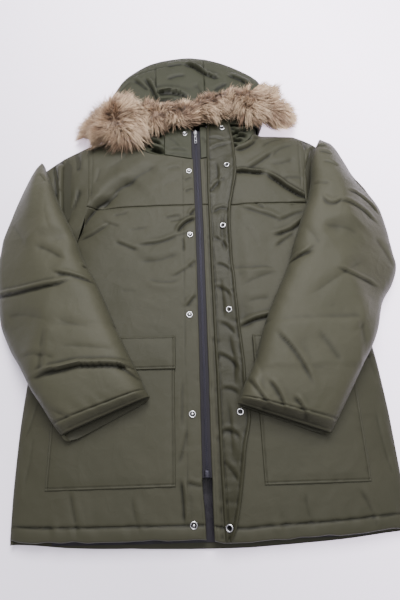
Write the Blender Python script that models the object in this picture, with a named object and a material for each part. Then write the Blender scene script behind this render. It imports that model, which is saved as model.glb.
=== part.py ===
"""Fur trimmed parka lying flat on its back, sleeves bent over the fronts, built from its measured sizes.

All sizes are millimetres in the coat's own plan: X across the coat, Y from hem to hood, Z up from the
surface it lies on. x = 0 is beside the zip, y = 0 is half way up the front. The last step moves the
whole coat so that the origin is the bottom centre of its bounding box, and scales it to metres.
"""

import math

import bpy
import numpy as np

MM = 0.001

# ------------------------------------------------------------------ sizes
SEAM_Z = 14.0        # height of side seams, shoulder seams and every folded rim above the surface
BODY_WALL = 5.0      # padded shell of the body
SLEEVE_WALL = 4.0
HOOD_WALL = 3.5
HOOD_Z = 38.6        # upper side of the hood where it lies thickest
FLAP_WALL = 3.0
POCKET_WALL = 2.2
LINING_WALL = 1.0
GAP = 0.3            # between two pieces at a seam
ARM_GAP = 2.0        # between body and sleeve, whose edges curve
YOKE_Y = 200.0       # yoke seam
ARM_LOW_Y = 100.0    # underarm point
ZIP_BOTTOM_Y = -324.0
ZIP_TOP_Y = 398.0
ZIP_HALF = 8.6       # half width of the visible zip tapes
CHAIN_HALF = 3.2
SNAP_R = 6.2


class Table:
    """A short table with named columns; the first column is the one it is read along."""

    def __init__(self, columns, rows):
        self.columns = columns
        self.data = {c: np.array([r[i] for r in rows], float) for i, c in enumerate(columns)}

    def at(self, column, key):
        """Smooth value of a column at a key, held level past both ends."""
        xs, ys = self.data[self.columns[0]], self.data[column]
        key = np.clip(np.asarray(key, float), xs[0], xs[-1])
        step = np.diff(xs)
        slope = np.diff(ys) / step
        tangent = np.concatenate([[slope[0]], np.zeros(len(xs) - 2), [slope[-1]]])
        for i in range(1, len(xs) - 1):
            a, b = slope[i - 1], slope[i]
            if a * b > 0:
                tangent[i] = 2 * a * b / (a + b)
        i = np.clip(np.searchsorted(xs, key) - 1, 0, len(xs) - 2)
        t = (key - xs[i]) / step[i]
        return ((2 * t**3 - 3 * t**2 + 1) * ys[i] + (t**3 - 2 * t**2 + t) * step[i] * tangent[i]
                + (3 * t**2 - 2 * t**3) * ys[i + 1] + (t**3 - t**2) * step[i] * tangent[i + 1])


# width of the flat body at each height: side seams below the underarm, armholes above it
SIDES = Table(("y", "left", "right"), [
    (-430, -313, 321), (-400, -316, 323), (-320, -320, 327), (-250, -321, 327), (-160, -318, 324),
    (-60, -304, 314), (40, -284, 292), (100, -264, 266), (127, -248, 250), (164, -236, 236),
    (215, -229, 229), (269, -232, 234), (330, -236, 242), (344, -240, 241), (372, -246, 228),
    (400, -246, 224)])

# top edge of the fronts: shoulders, then the neckline between them; hem edges of fronts and back
TOPS = Table(("x", "top", "front_hem", "back_hem"), [
    (-330, 352, -408, -412), (-262, 366, -411, -418), (-235, 376, -411.5, -421), (-183, 391, -412.5, -424),
    (-160, 393, -413, -425), (-145, 384, -413, -425), (-127, 353, -413, -425.5), (-93, 335, -413.5, -427),
    (-62, 330, -414, -428), (-30, 323, -414.5, -429), (0, 317, -415, -429.5), (30, 322, -420, -430),
    (62, 334, -421, -430), (90, 347, -419, -429), (118, 366, -418, -428), (140, 388, -417, -427),
    (160, 393, -416.5, -426), (200, 391, -415, -424), (241, 389, -413, -421), (270, 370, -411, -418),
    (330, 352, -408, -412)])

# height of the coat's upper side along its length
CREST = Table(("y", "height"), [
    (-430, 27), (-400, 29), (-340, 32), (-200, 35), (0, 37), (200, 37), (320, 38), (440, 38)])

# storm flap turned back: its fold, its free edge and how far that edge stands off the front
STORM = Table(("y", "fold", "free", "stand"), [
    (-416, 27, 38, 3), (-397, 26, 46, 5), (-356, 25, 56, 4), (-282, 24, 68, 7), (-225, 24, 79, 3),
    (-160, 24, 76, 8), (-80, 23, 73, 4), (-5, 23, 70, 7), (76, 23, 67, 3), (133, 23, 66, 6),
    (194, 23, 70, 3), (225, 23, 77, 5), (282, 24, 87, 8), (341, 25, 87, 4), (390, 27, 82, 3),
    (424, 28, 79, 2)])

ZIP = Table(("y", "centre"), [(-420, 3.0), (-330, 1.8), (-100, 3.0), (150, 3.5), (300, 2.5), (410, 1.5)])
FRONT_GAP = Table(("y", "left", "right"), [
    (-420, -2.6, 10.2), (-385, -3.2, 9.6), (-350, -5.4, 9.4), (-326, -6.9, 10.3)])

# edges of a sleeve from its folded top to the cuff: outer and inner edge points, and how far it stands up
LEFT_SLEEVE = Table(("row", "outer_x", "outer_y", "inner_x", "inner_y", "rise"), [
    (0, -338, 312, -327, 305, 20), (1, -350, 298, -318, 282, 30), (2, -366, 262, -303, 252, 38),
    (3, -379, 216, -287, 214, 42), (4, -391, 164, -264, 162, 44), (5, -402, 118, -242, 115, 45),
    (6, -400, 62, -221, 66, 45), (7, -394, 12, -196, 20, 44), (8, -381, -48, -174, -28, 44),
    (9, -355, -98, -154, -70, 43), (10, -318, -146, -135, -110, 42), (11, -278, -200, -112, -156, 40),
    (12, -236, -252, -92, -194, 34)])
RIGHT_SLEEVE = Table(("row", "outer_x", "outer_y", "inner_x", "inner_y", "rise"), [
    (0, 280, 352, 270, 344, 20), (1, 308, 334, 257, 316, 30), (2, 326, 297, 244, 278, 38),
    (3, 346, 253, 238, 238, 42), (4, 370, 212, 228, 200, 44), (5, 389, 166, 211, 156, 45),
    (6, 394, 110, 196, 114, 45), (7, 396, 58, 177, 64, 44), (8, 380, 14, 157, 20, 44),
    (9, 354, -24, 137, -22, 43), (10, 326, -84, 112, -80, 42), (11, 282, -148, 88, -146, 41),
    (12, 244, -206, 70, -178, 39), (13, 208, -262, 58, -210, 34)])
CUFF_LAP = 13.0      # how far the under layer of a cuff shows past the upper one

# upper part of a sleeve between the armhole and the fold under the sleeve
LEFT_HEAD = Table(("out", "up_x", "up_y", "low_x", "low_y"), [
    (0, -246, 371, -264, 100), (0.5, -293, 344, -290, 96), (1, -334, 312, -322, 106)])
RIGHT_HEAD = Table(("out", "up_x", "up_y", "low_x", "low_y"), [
    (0, 229, 389, 266, 100), (0.5, 262, 372, 292, 100), (1, 300, 338, 322, 110)])

# ruled lines of the hood from the neck outwards: each joins a base point to the outline
HOOD = Table(("line", "base_x", "base_y", "rim_x", "rim_y"), [
    (0, -128, 404, -150, 408), (1, -126, 408, -178, 450), (2, -120, 410, -193, 505), (3, -110, 411, -176, 560),
    (4, -98, 412, -143, 600), (5, -84, 412, -99, 628), (6, -56, 413, -60, 639), (7, 0, 414, 0, 645),
    (8, 28, 414, 27, 642), (9, 66, 414, 72, 623), (10, 92, 413, 115, 597), (11, 108, 412, 146, 574),
    (12, 118, 411, 164, 545), (13, 126, 410, 168, 500), (14, 130, 407, 162, 440), (15, 132, 404, 150, 405)])
HOOD_SEAMS = (5.2, 8.0)   # lines where the three hood panels meet
BACK_NECK_Y = 398.0

# the fur band along the hood's edge: centre line, half width, height of its reach
FUR = Table(("along", "x", "y", "half", "reach"), [
    (0, -250, 398, 22, 16), (0.05, -232, 412, 44, 36), (0.13, -198, 420, 58, 44), (0.22, -160, 420, 60, 46),
    (0.31, -120, 426, 40, 43), (0.42, -66, 429, 25, 40), (0.53, -14, 431, 23, 40), (0.64, 40, 443, 24, 40),
    (0.74, 90, 460, 29, 41), (0.83, 134, 454, 50, 43), (0.91, 176, 453, 54, 42), (0.96, 206, 442, 42, 34),
    (1, 222, 432, 22, 16)])
FUR_CUTS = (0.27, 0.80)   # where the three lengths of the trim meet

STUDS = Table(("y", "x"), [(-392, -22), (-223, -20), (-43, -21), (128, -16), (285, -15), (388, -22)])
SOCKETS = Table(("y", "x"), [(-397, 34), (-222, 62), (-37, 53), (144, 51), (293, 67), (397, 62)])

# the largest folds: a soft trough (depth > 0) or ridge (depth < 0) along a line
FOLDS = Table(("fold", "x0", "y0", "x1", "y1", "depth", "width"), [
    (0, -120, 330, -246, 128, 6, 12),    # left yoke, neck to underarm
    (1, -284, 345, -272, 175, 11, 8),    # left sleeve head, beside its fold
    (2, 105, 300, 232, 268, 6, 10),      # right yoke, upper
    (3, 120, 262, 236, 170, 6, 10),      # right yoke, lower
    (4, 256, 352, 243, 235, 8, 7),       # right sleeve head
    (5, -250, 128, -130, 60, 4, 12),     # left underarm
    (6, 112, 60, 226, 128, 4, 12)])      # right underarm


# ------------------------------------------------------------------ form functions
def smooth(t):
    """Smoothstep of a value clipped to 0..1."""
    t = np.clip(t, 0, 1)
    return t * t * (3 - 2 * t)


def dome(e, power=6):
    """Section of a flat bag: 1 in the middle, 0 at both rims."""
    return np.sqrt(np.clip(1 - np.abs(np.clip(e, -1, 1)) ** power, 0, 1))


def closing(x, y):
    """1 inside the coat, 0 on its shoulder line; the neckline stays open."""
    shoulder = smooth((np.abs(x) - 128) / 30)
    near = np.clip((TOPS.at("top", x) - y) / 62, 0, 1)
    return 1 - shoulder * (1 - np.sqrt(np.clip(1 - (1 - near) ** 2, 0, 1)))


def across(x, y):
    """-1 on the left side or armhole, 1 on the right one."""
    left, right = SIDES.at("left", y), SIDES.at("right", y)
    return (2 * x - left - right) / (right - left)


def fold_depth(x, y):
    """How far the largest folds press the upper side down."""
    total = np.zeros(np.broadcast(x, y).shape)
    for x0, y0, x1, y1, depth, width in zip(*(FOLDS.data[c] for c in FOLDS.columns[1:])):
        dx, dy = x1 - x0, y1 - y0
        along = np.clip(((x - x0) * dx + (y - y0) * dy) / (dx * dx + dy * dy), 0, 1)
        away = np.hypot(x - x0 - along * dx, y - y0 - along * dy)
        fade = np.sin(math.pi * np.clip(0.12 + 0.8 * along, 0, 1))
        total = total + depth * np.exp(-(away / width) ** 2) * fade
    return total


def open_edge(y):
    """0 where the side is a closed seam, towards 1 where the armhole leads into the sleeve."""
    return smooth((y - ARM_LOW_Y) / 60)


def front_top(x, y):
    """Upper surface of fronts and yokes."""
    edge = open_edge(y) * 0.88
    body = edge + (1 - edge) * dome(across(x, y))
    full = closing(x, y) * body
    return SEAM_Z + (CREST.at("height", y) - SEAM_Z) * full - fold_depth(x, y) * full


def back_low(x, y):
    """Underside of the back: flat on the surface, curling up to the seams."""
    edge = open_edge(y)
    return SEAM_Z - SEAM_Z * closing(x, y) * (edge + (1 - edge) * dome(across(x, y), 12))


def outline():
    """The coat's flat outline without the sleeves, as two loops: body with sleeve heads, and hood."""
    ys = np.linspace(-410, ARM_LOW_Y, 24)
    left = np.c_[SIDES.at("left", ys), ys]
    right = np.c_[SIDES.at("right", ys), ys][::-1]
    loop = [left, [(-322, 106), (-334, 312), (-293, 344), (-246, 371), (-183, 391), (-130, 396),
                   (130, 396), (229, 389), (262, 372), (300, 338), (322, 110)], right]
    k = np.linspace(0, 15, 40)
    hood = np.vstack([np.c_[HOOD.at("rim_x", k), HOOD.at("rim_y", k)], [(132, 320), (-128, 320)]])
    return np.vstack(loop), hood


def inside(x, y, loop):
    """Signed distance to a closed loop, positive inside."""
    px, py = np.ravel(x)[:, None], np.ravel(y)[:, None]
    a, b = loop, np.roll(loop, -1, axis=0)
    d = b - a
    t = np.clip(((px - a[:, 0]) * d[:, 0] + (py - a[:, 1]) * d[:, 1]) / (d**2).sum(1), 0, 1)
    far = np.hypot(px - a[:, 0] - t * d[:, 0], py - a[:, 1] - t * d[:, 1]).min(1)
    spans = (a[:, 1] > py) != (b[:, 1] > py)
    with np.errstate(divide="ignore", invalid="ignore"):
        hits = spans & (px < d[:, 0] * (py - a[:, 1]) / d[:, 1] + a[:, 0])
    sign = np.where(hits.sum(1) % 2 == 1, 1.0, -1.0)
    return (far * sign).reshape(np.shape(x))


def box_ramp(value, low, high, ramp):
    """1 between two limits, falling softly to 0 outside them."""
    return smooth((value - low + ramp) / ramp) * smooth((high + ramp - value) / ramp)


def rest_height(x, y, skirt=38):
    """Height at which soft cloth lies over the body, its pockets and its turned-back flap; the skirt is how
    far outside the outline it comes down to the surface."""
    body, hood = outline()
    reach = np.maximum(inside(x, y, body), inside(x, y, hood))
    pockets = np.maximum(box_ramp(x, -262, -50, 14), box_ramp(x, 88, 268, 14)) * box_ramp(y, -336, -84, 14)
    flaps = np.maximum(box_ramp(x, -262, -48, 14), box_ramp(x, 88, 268, 14)) * box_ramp(y, -148, -80, 12)
    storm = box_ramp(x, 20, 88, 16) * 8
    lift = CREST.at("height", y) + 1.15 + np.maximum(2.3 * pockets + 2.7 * flaps, storm)
    return lift * smooth((reach + skirt) / 70)


# ------------------------------------------------------------------ mesh makers
for old in list(bpy.data.objects):
    bpy.data.objects.remove(old)
made = []


def piece(name, verts, faces, colour, rough=0.7, metal=0.0):
    """One solid of the coat with its own material."""
    mesh = bpy.data.meshes.new(name)
    mesh.from_pydata([tuple(v) for v in verts], [], [tuple(int(i) for i in f) for f in faces])
    mesh.validate()
    mesh.shade_smooth()
    obj = bpy.data.objects.new(name, mesh)
    bpy.context.scene.collection.objects.link(obj)
    material = bpy.data.materials.new(name)
    material.use_nodes = True
    shader = material.node_tree.nodes["Principled BSDF"]
    shader.inputs["Base Color"].default_value = (*colour, 1)
    shader.inputs["Roughness"].default_value = rough
    shader.inputs["Metallic"].default_value = metal
    mesh.materials.append(material)
    made.append(obj)
    return obj


def volume(verts, faces):
    """Signed volume of a closed mesh of triangles and quads."""
    total = 0.0
    for f in faces:
        for i in range(1, len(f) - 1):
            total += np.dot(verts[f[0]], np.cross(verts[f[i]], verts[f[i + 1]]))
    return total / 6


def outward(verts, faces):
    """The same faces, turned to face out."""
    return faces if volume(verts, faces) > 0 else [f[::-1] for f in faces]


def sheet(name, upper, lower, colour, **look):
    """A wall between two grids of the same size: faces above and below, and a strip along all four edges."""
    n, m = upper.shape[:2]
    verts = np.vstack([upper.reshape(-1, 3), lower.reshape(-1, 3)])
    at = np.arange(n * m).reshape(n, m)
    off = n * m
    faces = []
    for i in range(n - 1):
        for j in range(m - 1):
            faces.append((at[i, j], at[i, j + 1], at[i + 1, j + 1], at[i + 1, j]))
            faces.append((off + at[i, j], off + at[i + 1, j], off + at[i + 1, j + 1], off + at[i, j + 1]))
    ring = list(at[0, :]) + list(at[1:, -1]) + list(at[-1, -2::-1]) + list(at[-2:0:-1, 0])
    for a, b in zip(ring, ring[1:] + ring[:1]):
        faces.append((a, off + a, off + b, b))
    return piece(name, verts, outward(verts, faces), colour, **look)


def rings_strip(at, faces):
    """Quads between consecutive closed rings of vertex numbers."""
    for r, s in zip(at[:-1], at[1:]):
        for a, b, c, d in zip(r, np.roll(r, -1), np.roll(s, -1), s):
            faces.append((a, b, c, d))


def sleeve_shell(name, outer, inner, colour, **look):
    """A tube of cloth closed at its first ring and open at its last."""
    n, m = outer.shape[:2]
    k = inner.shape[0]
    verts = np.vstack([outer.reshape(-1, 3), inner.reshape(-1, 3), [outer[0].mean(0)], [inner[0].mean(0)]])
    o = np.arange(n * m).reshape(n, m)
    i = n * m + np.arange(k * m).reshape(k, m)
    faces = []
    rings_strip(o, faces)
    rings_strip(i[::-1], faces)
    rings_strip([o[-1], i[-1]], faces)
    tip, core = n * m + k * m, n * m + k * m + 1
    for a, b in zip(o[0], np.roll(o[0], -1)):
        faces.append((tip, b, a))
    for a, b in zip(i[0], np.roll(i[0], -1)):
        faces.append((core, a, b))
    return piece(name, verts, outward(verts, faces), colour, **look)


def lump(name, rings, colour, **look):
    """A solid through closed rings, closed at both ends."""
    n, m = rings.shape[:2]
    verts = np.vstack([rings.reshape(-1, 3), [rings[0].mean(0)], [rings[-1].mean(0)]])
    at = np.arange(n * m).reshape(n, m)
    faces = []
    rings_strip(at, faces)
    for a, b in zip(at[0], np.roll(at[0], -1)):
        faces.append((n * m, b, a))
    for a, b in zip(at[-1], np.roll(at[-1], -1)):
        faces.append((n * m + 1, a, b))
    return piece(name, verts, outward(verts, faces), colour, **look)


def turned(name, profile, centre, normal, colour, sides=12, **look):
    """A round piece turned about a normal through its centre; its profile of (radius, height) pairs runs from
    axis to axis."""
    normal = normal / np.linalg.norm(normal)
    u = np.cross([0, 1, 0], normal)
    u /= np.linalg.norm(u)
    v = np.cross(normal, u)
    angle = np.linspace(0, 2 * math.pi, sides, endpoint=False)
    radial = np.cos(angle)[:, None] * u + np.sin(angle)[:, None] * v
    rings = np.array([centre + normal * h + radial * r for r, h in profile[1:-1]])
    n = len(rings)
    ends = [centre + normal * profile[0][1], centre + normal * profile[-1][1]]
    verts = np.vstack([rings.reshape(-1, 3), ends])
    at = np.arange(n * sides).reshape(n, sides)
    faces = []
    rings_strip(at, faces)
    for a, b in zip(at[0], np.roll(at[0], -1)):
        faces.append((n * sides, b, a))
    for a, b in zip(at[-1], np.roll(at[-1], -1)):
        faces.append((n * sides + 1, a, b))
    return piece(name, verts, outward(verts, faces), colour, **look)


def eased(count, low=True, high=True):
    """0..1 with the points gathered towards the chosen ends."""
    t = np.linspace(0, 1, count)
    if low and high:
        return 0.5 - 0.5 * np.cos(math.pi * t)
    if high:
        return np.sin(math.pi * t / 2)
    if low:
        return 1 - np.cos(math.pi * t / 2)
    return t


def grid(x, y, z):
    """Three arrays as one grid of points."""
    return np.stack(np.broadcast_arrays(x, y, z), axis=-1)


# ------------------------------------------------------------------ body panels
OLIVE = (0.115, 0.118, 0.078)
DEEP = (0.085, 0.088, 0.058)
TAPE = (0.07, 0.062, 0.085)
GREY = (0.12, 0.105, 0.13)
TAN = (0.52, 0.41, 0.29)
SILVER = (0.62, 0.62, 0.64)
TOOTH = (0.5, 0.48, 0.52)


def wall_under(x, y, z, wall):
    """The inner side of a body wall: pulled in from the rims and lowered by the wall."""
    e = across(x, y)
    pull = wall * np.sign(e) * np.abs(np.clip(e, -1, 1)) ** 8 * (1 - open_edge(y))
    shoulder = smooth((np.abs(x) - 128) / 30)
    back = wall * shoulder * np.clip(1 - (TOPS.at("top", x) - y) / 62, 0, 1) ** 3
    deep = CREST.at("height", y)
    return x - pull, y - back, SEAM_Z + GAP + (z - SEAM_Z) * (deep - wall - SEAM_Z - GAP) / (deep - SEAM_Z)


def front_panel(name, side, low, high, rows, columns):
    """Half of the front between two lines of the plan, from the zip to the side or armhole."""
    v = eased(rows, low=False, high=(high == "top"))[:, None]
    u = eased(columns, low=False)[None, :]
    y = (low if low != "hem" else -413) * (1 - v) + (high if high != "top" else 380) * v
    for _ in range(4):
        centre = ZIP.at("centre", y)
        below = smooth((ZIP_BOTTOM_Y - y) / 6)
        if side < 0:
            start = (centre - ZIP_HALF - 5 * GAP) * (1 - below) + FRONT_GAP.at("left", y) * below
            end = SIDES.at("left", y)
        else:
            start = (centre + ZIP_HALF + 5 * GAP) * (1 - below) + FRONT_GAP.at("right", y) * below
            end = SIDES.at("right", y)
        x = start + (end - start) * u
        y_low = TOPS.at("front_hem", x) if low == "hem" else low
        y_high = TOPS.at("top", x) if high == "top" else high
        y = y_low + (y_high - y_low) * v
    z = np.maximum(front_top(x, y), SEAM_Z + GAP)
    xi, yi, zi = wall_under(x, y, z, BODY_WALL)
    return sheet(name, grid(x, y, z + GAP / 2), grid(xi, yi, np.minimum(zi, z - 0.4)), OLIVE)


front_panel("front_left", -1, "hem", YOKE_Y - GAP / 2, 16, 10)
front_panel("front_right", 1, "hem", YOKE_Y - GAP / 2, 16, 10)
front_panel("yoke_left", -1, YOKE_Y + GAP / 2, "top", 9, 12)
front_panel("yoke_right", 1, YOKE_Y + GAP / 2, "top", 9, 12)

# back: one panel from hem to back neck, curled up at its seams
v = eased(17, low=False)[:, None]
e = np.linspace(-1, 1, 13)[None, :]
e = np.sin(math.pi * e / 2)
y = -425 + (385 + 425) * v
for _ in range(4):
    left, right = SIDES.at("left", y), SIDES.at("right", y)
    x = (left + right) / 2 + e * (right - left) / 2
    neck = smooth((150 - np.abs(x)) / 25)
    y_high = TOPS.at("top", x) * (1 - neck) + (BACK_NECK_Y - GAP) * neck
    y = TOPS.at("back_hem", x) + (y_high - TOPS.at("back_hem", x)) * v
z = back_low(x, y)
deep = (SEAM_Z - z) / SEAM_Z
pull = BODY_WALL * np.sign(e) * np.abs(e) ** 8 * (1 - open_edge(y))
upper_z = SEAM_Z - GAP - (SEAM_Z - GAP - BODY_WALL) * deep
back_upper = grid(x - pull, y - BODY_WALL * (1 - closing(x, y)), upper_z - GAP / 2)
sheet("back_panel", back_upper, grid(x, y, z - GAP / 2 * (1 - deep)), OLIVE)

# lining of the back, seen where the fronts part and inside the hem
v = eased(6, low=False, high=False)[:, None]
u = np.linspace(-1, 1, 5)[None, :]
y = -417 + (300 + 417) * v - 3 * (1 - v) * (1 - u**2)
middle = (SIDES.at("left", y) + SIDES.at("right", y)) / 2
x = middle + u * 0.40 * (SIDES.at("right", y) - SIDES.at("left", y))
curl = (SEAM_Z - back_low(x, y)) / SEAM_Z
floor = BODY_WALL + GAP + 0.3 + (SEAM_Z - BODY_WALL) * (1 - curl) * 1.4
sheet("lining_back", grid(x, y, floor + LINING_WALL), grid(x, y, floor), GREY)


# ------------------------------------------------------------------ sleeves
def sleeve_head(name, table, side, rows=6, around=24):
    """Upper part of a sleeve: an open-ended bag from the armhole to the rounded fold under the sleeve."""
    angle = np.linspace(0, 2 * math.pi, around, endpoint=False)
    e = np.cos(angle)[None, :]
    upper = np.sin(angle)[None, :] >= 0
    column = "left" if side < 0 else "right"
    out = eased(rows, low=False)[::-1][:, None]

    def shell(out, wall, start):
        up = np.stack([table.at("up_x", out), table.at("up_y", out)], -1)
        low = np.stack([table.at("low_x", out), table.at("low_y", out)], -1)
        t = (1 + e[..., None]) / 2
        p = low * (1 - t) + up * t
        x, y = p[..., 0], p[..., 1]
        y0 = table.at("low_y", 0) * (1 - t[..., 0]) + table.at("up_y", 0) * t[..., 0]
        x0 = table.at("low_x", 0) * (1 - t[..., 0]) + table.at("up_x", 0) * t[..., 0]
        arm = SIDES.at(column, y0)
        x = x + (arm - x0) * (1 - out) + side * ARM_GAP
        shut = np.sqrt(np.clip(1 - (0.97 * out / (1 - start)) ** 3, 0.03, 1))
        high = (front_top(arm, y0) - SEAM_Z) * shut * (1 - 0.18 * smooth(out * 2))
        high = high - fold_depth(x, y) * 0.9 * smooth(high / 16) * (out > 0.02)
        depth = (SEAM_Z - back_low(arm, y0)) * shut
        inner = wall * (1 - np.abs(e) ** 4)
        above = SEAM_Z + np.maximum(high - inner, 0.4 * high)
        below = SEAM_Z - np.maximum(depth - inner, 0.4 * depth)
        z = np.where(upper, above, below)
        shift = wall * e * np.abs(e) ** 6
        y = y - shift
        return grid(x, y, z)

    outer = shell(out, 0.0, 0.0)
    inside_out = out[(out[:, 0] < 0.86)]
    inner = shell(inside_out, SLEEVE_WALL, 0.12)
    return sleeve_shell(name, outer, inner, OLIVE)


sleeve_head("sleeve_head_left", LEFT_HEAD, -1)
sleeve_head("sleeve_head_right", RIGHT_HEAD, 1)


def sleeve(name, table, rows, seat, around=26):
    """The bent sleeve lying over the front: a flat tube of cloth, closed where it folds under and open at the
    cuff."""
    last = table.data["row"][-1]
    angle = np.linspace(0, 2 * math.pi, around, endpoint=False)
    e = -np.cos(angle)[None, :]
    upper = np.sin(angle)[None, :] >= 0

    def shell(row, wall):
        t = (1 + e) / 2
        ox, oy = table.at("outer_x", row), table.at("outer_y", row)
        ix, iy = table.at("inner_x", row), table.at("inner_y", row)
        width = np.hypot(ix - ox, iy - oy)
        t = 0.5 + (t - 0.5) * (1 - 2 * wall / np.maximum(width, 4 * wall + 1))
        x, y = ox + (ix - ox) * t, oy + (iy - oy) * t
        lap = CUFF_LAP * smooth((row - last + 1) / 1) * np.where(upper, 0, 1) * dome(e, 4)
        ax, ay = (iy - oy) / width, -(ix - ox) / width
        flip = np.where(ay > 0, -1, 1)
        x, y = x + lap * ax * flip, y + lap * ay * flip
        base = rest_height(x, y)
        base = base + (GAP + seat) * smooth(base / 4) + 5 * smooth((y - 60) / 80) * smooth(base / 20)
        rise = table.at("rise", row)
        rim = np.minimum(SEAM_Z, rise * 0.4)
        a = dome(e, 4)
        z = np.where(upper, base + rim + (rise - wall - rim) * a, base + rim - (rim - wall) * a)
        return grid(x, y, z)

    row = np.linspace(0, last, rows)[:, None]
    outer = shell(row, 0.0)
    inner = shell(row[row[:, 0] > 1.2], SLEEVE_WALL)
    return sleeve_shell(name, outer, inner, OLIVE)


sleeve("sleeve_left", LEFT_SLEEVE, 13, 0.1)
sleeve("sleeve_right", RIGHT_SLEEVE, 14, -0.25)


# ------------------------------------------------------------------ hood, collar, fur
def hood_panel(name, first, last, columns):
    """A hood panel: from the brow over the crown rim and back under to the neck, as one bent wall."""
    c = np.linspace(first, last, columns)[None, :]
    bx, by = HOOD.at("base_x", c), HOOD.at("base_y", c)
    rx, ry = HOOD.at("rim_x", c), HOOD.at("rim_y", c)
    angle = np.linspace(0, math.pi, 13)[:, None]      # 0 at the brow, pi at the back neck

    def skin(wall):
        far = np.sin(angle) ** 0.55
        far = np.where((angle > 0.01) & (angle < math.pi - 0.01), far, 0)
        length = np.hypot(rx - bx, ry - by)
        far = far * (1 - wall / length)
        x, y = bx + (rx - bx) * far, by + (ry - by) * far
        y = np.where(angle > math.pi / 2, y - (by - BACK_NECK_Y - GAP) * (1 - far) ** 2, y)
        top = SEAM_Z + (HOOD_Z - wall - SEAM_Z) * np.clip(np.cos(angle), 0, 1) ** 0.5
        low = SEAM_Z - (SEAM_Z - wall) * np.clip(-np.cos(angle), 0, 1) ** 0.35
        return grid(x, y, np.where(angle <= math.pi / 2, top, low))

    return sheet(name, skin(0.0), skin(HOOD_WALL), OLIVE)


SEAM_SHIFT = 0.0045
hood_panel("hood_side_left", 0, HOOD_SEAMS[0] - SEAM_SHIFT, 8)
hood_panel("hood_centre", HOOD_SEAMS[0] + SEAM_SHIFT, HOOD_SEAMS[1] - SEAM_SHIFT, 5)
hood_panel("hood_side_right", HOOD_SEAMS[1] + SEAM_SHIFT, 15, 9)


def neck_piece(name, x_low, x_high, drop, columns, top=412.0):
    """Collar or hood front between the neckline and the fur."""
    u = np.linspace(0, 1, columns)[None, :]
    v = np.linspace(0, 1, 3)[:, None]
    x = x_low + (x_high - x_low) * u
    low = TOPS.at("top", x) + 1.0 + 2.0 * smooth((np.abs(x) - 70) / 20)
    y = low + (np.maximum(top, low + 12) - low) * v
    z = front_top(x, y) - drop
    return sheet(name, grid(x, y, z), grid(x, y, z - 3.0), OLIVE)


neck_piece("collar_left", -68, -7.6, 0.1, 6, 407)
neck_piece("collar_right", 11.8, 66, 0.1, 6, 407)
neck_piece("hood_front_left", -108, -68.4, 2.4, 6, 402)
neck_piece("hood_front_right", 66.4, 112, 2.4, 6, 402)


def fur(name, first, last, rows, around=12):
    """The reach of the fur along one length of the hood's edge, lying over hood, collar and shoulders."""
    k = np.linspace(first, last, rows)[:, None]
    angle = np.linspace(0, 2 * math.pi, around, endpoint=False)[None, :]
    d = 0.002
    dx = FUR.at("x", k + d) - FUR.at("x", k - d)
    dy = FUR.at("y", k + d) - FUR.at("y", k - d)
    length = np.hypot(dx, dy)
    side = np.cos(angle) * FUR.at("half", k)
    x = FUR.at("x", k) - dy / length * side
    y = FUR.at("y", k) + dx / length * side
    base = rest_height(x, y, 62) + GAP
    reach = FUR.at("reach", k)
    rim = reach * 0.3
    up = np.sin(angle)
    z = base + np.where(up >= 0, rim + (reach - rim) * np.abs(up) ** 0.8, rim - rim * np.abs(up) ** 0.6)
    return lump(name, grid(x, y, z), TAN, rough=0.9)


fur("fur_left", 0, FUR_CUTS[0] - 0.0005, 7)
fur("fur_top", FUR_CUTS[0] + 0.0005, FUR_CUTS[1] - 0.0005, 12)
fur("fur_right", FUR_CUTS[1] + 0.0005, 1, 6)

# ------------------------------------------------------------------ storm flap and pockets
y = np.linspace(-416, 424, 27)[:, None]
u = np.linspace(0, 1, 4)[None, :]
fold, free = STORM.at("fold", y), STORM.at("free", y)
x = fold + (free - fold) * u
ground = np.maximum(front_top(x, y), 0)
z = ground + 0.6 + STORM.at("stand", y) * u**2
sheet("storm_flap", grid(x, y, z + FLAP_WALL), grid(x, y, z), DEEP)


def pocket(side, x_low, x_high, y_low, y_high, flap_low, flap_high, flap_inner):
    """A patch pocket and its flap, each lying on what is under it."""
    word = "left" if side < 0 else "right"
    u = np.linspace(0, 1, 7)[None, :]
    v = np.linspace(0, 1, 7)[:, None]
    x = x_low + (x_high - x_low) * u
    y = y_low + (y_high - y_low) * v
    x, y = x + 0 * y, y + 0 * x
    ground = front_top(x, y) + 0.5
    sheet("pocket_" + word, grid(x, y, ground + POCKET_WALL), grid(x, y, ground), OLIVE)
    v = np.linspace(0, 1, 3)[:, None]
    start, end = (x_low, flap_inner) if side < 0 else (flap_inner, x_high)
    x = start + (end - start) * u
    y = flap_low + (flap_high - flap_low) * v
    x, y = x + 0 * y, y + 0 * x
    ground = front_top(x, y) + 0.5 + POCKET_WALL + 0.4
    sheet("pocket_flap_" + word, grid(x, y, ground + POCKET_WALL), grid(x, y, ground), OLIVE)


pocket(-1, -263, -50, -336, -92, -145, -84, -48)
pocket(1, 95, 271, -338, -94, -140, -86, 93)

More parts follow.
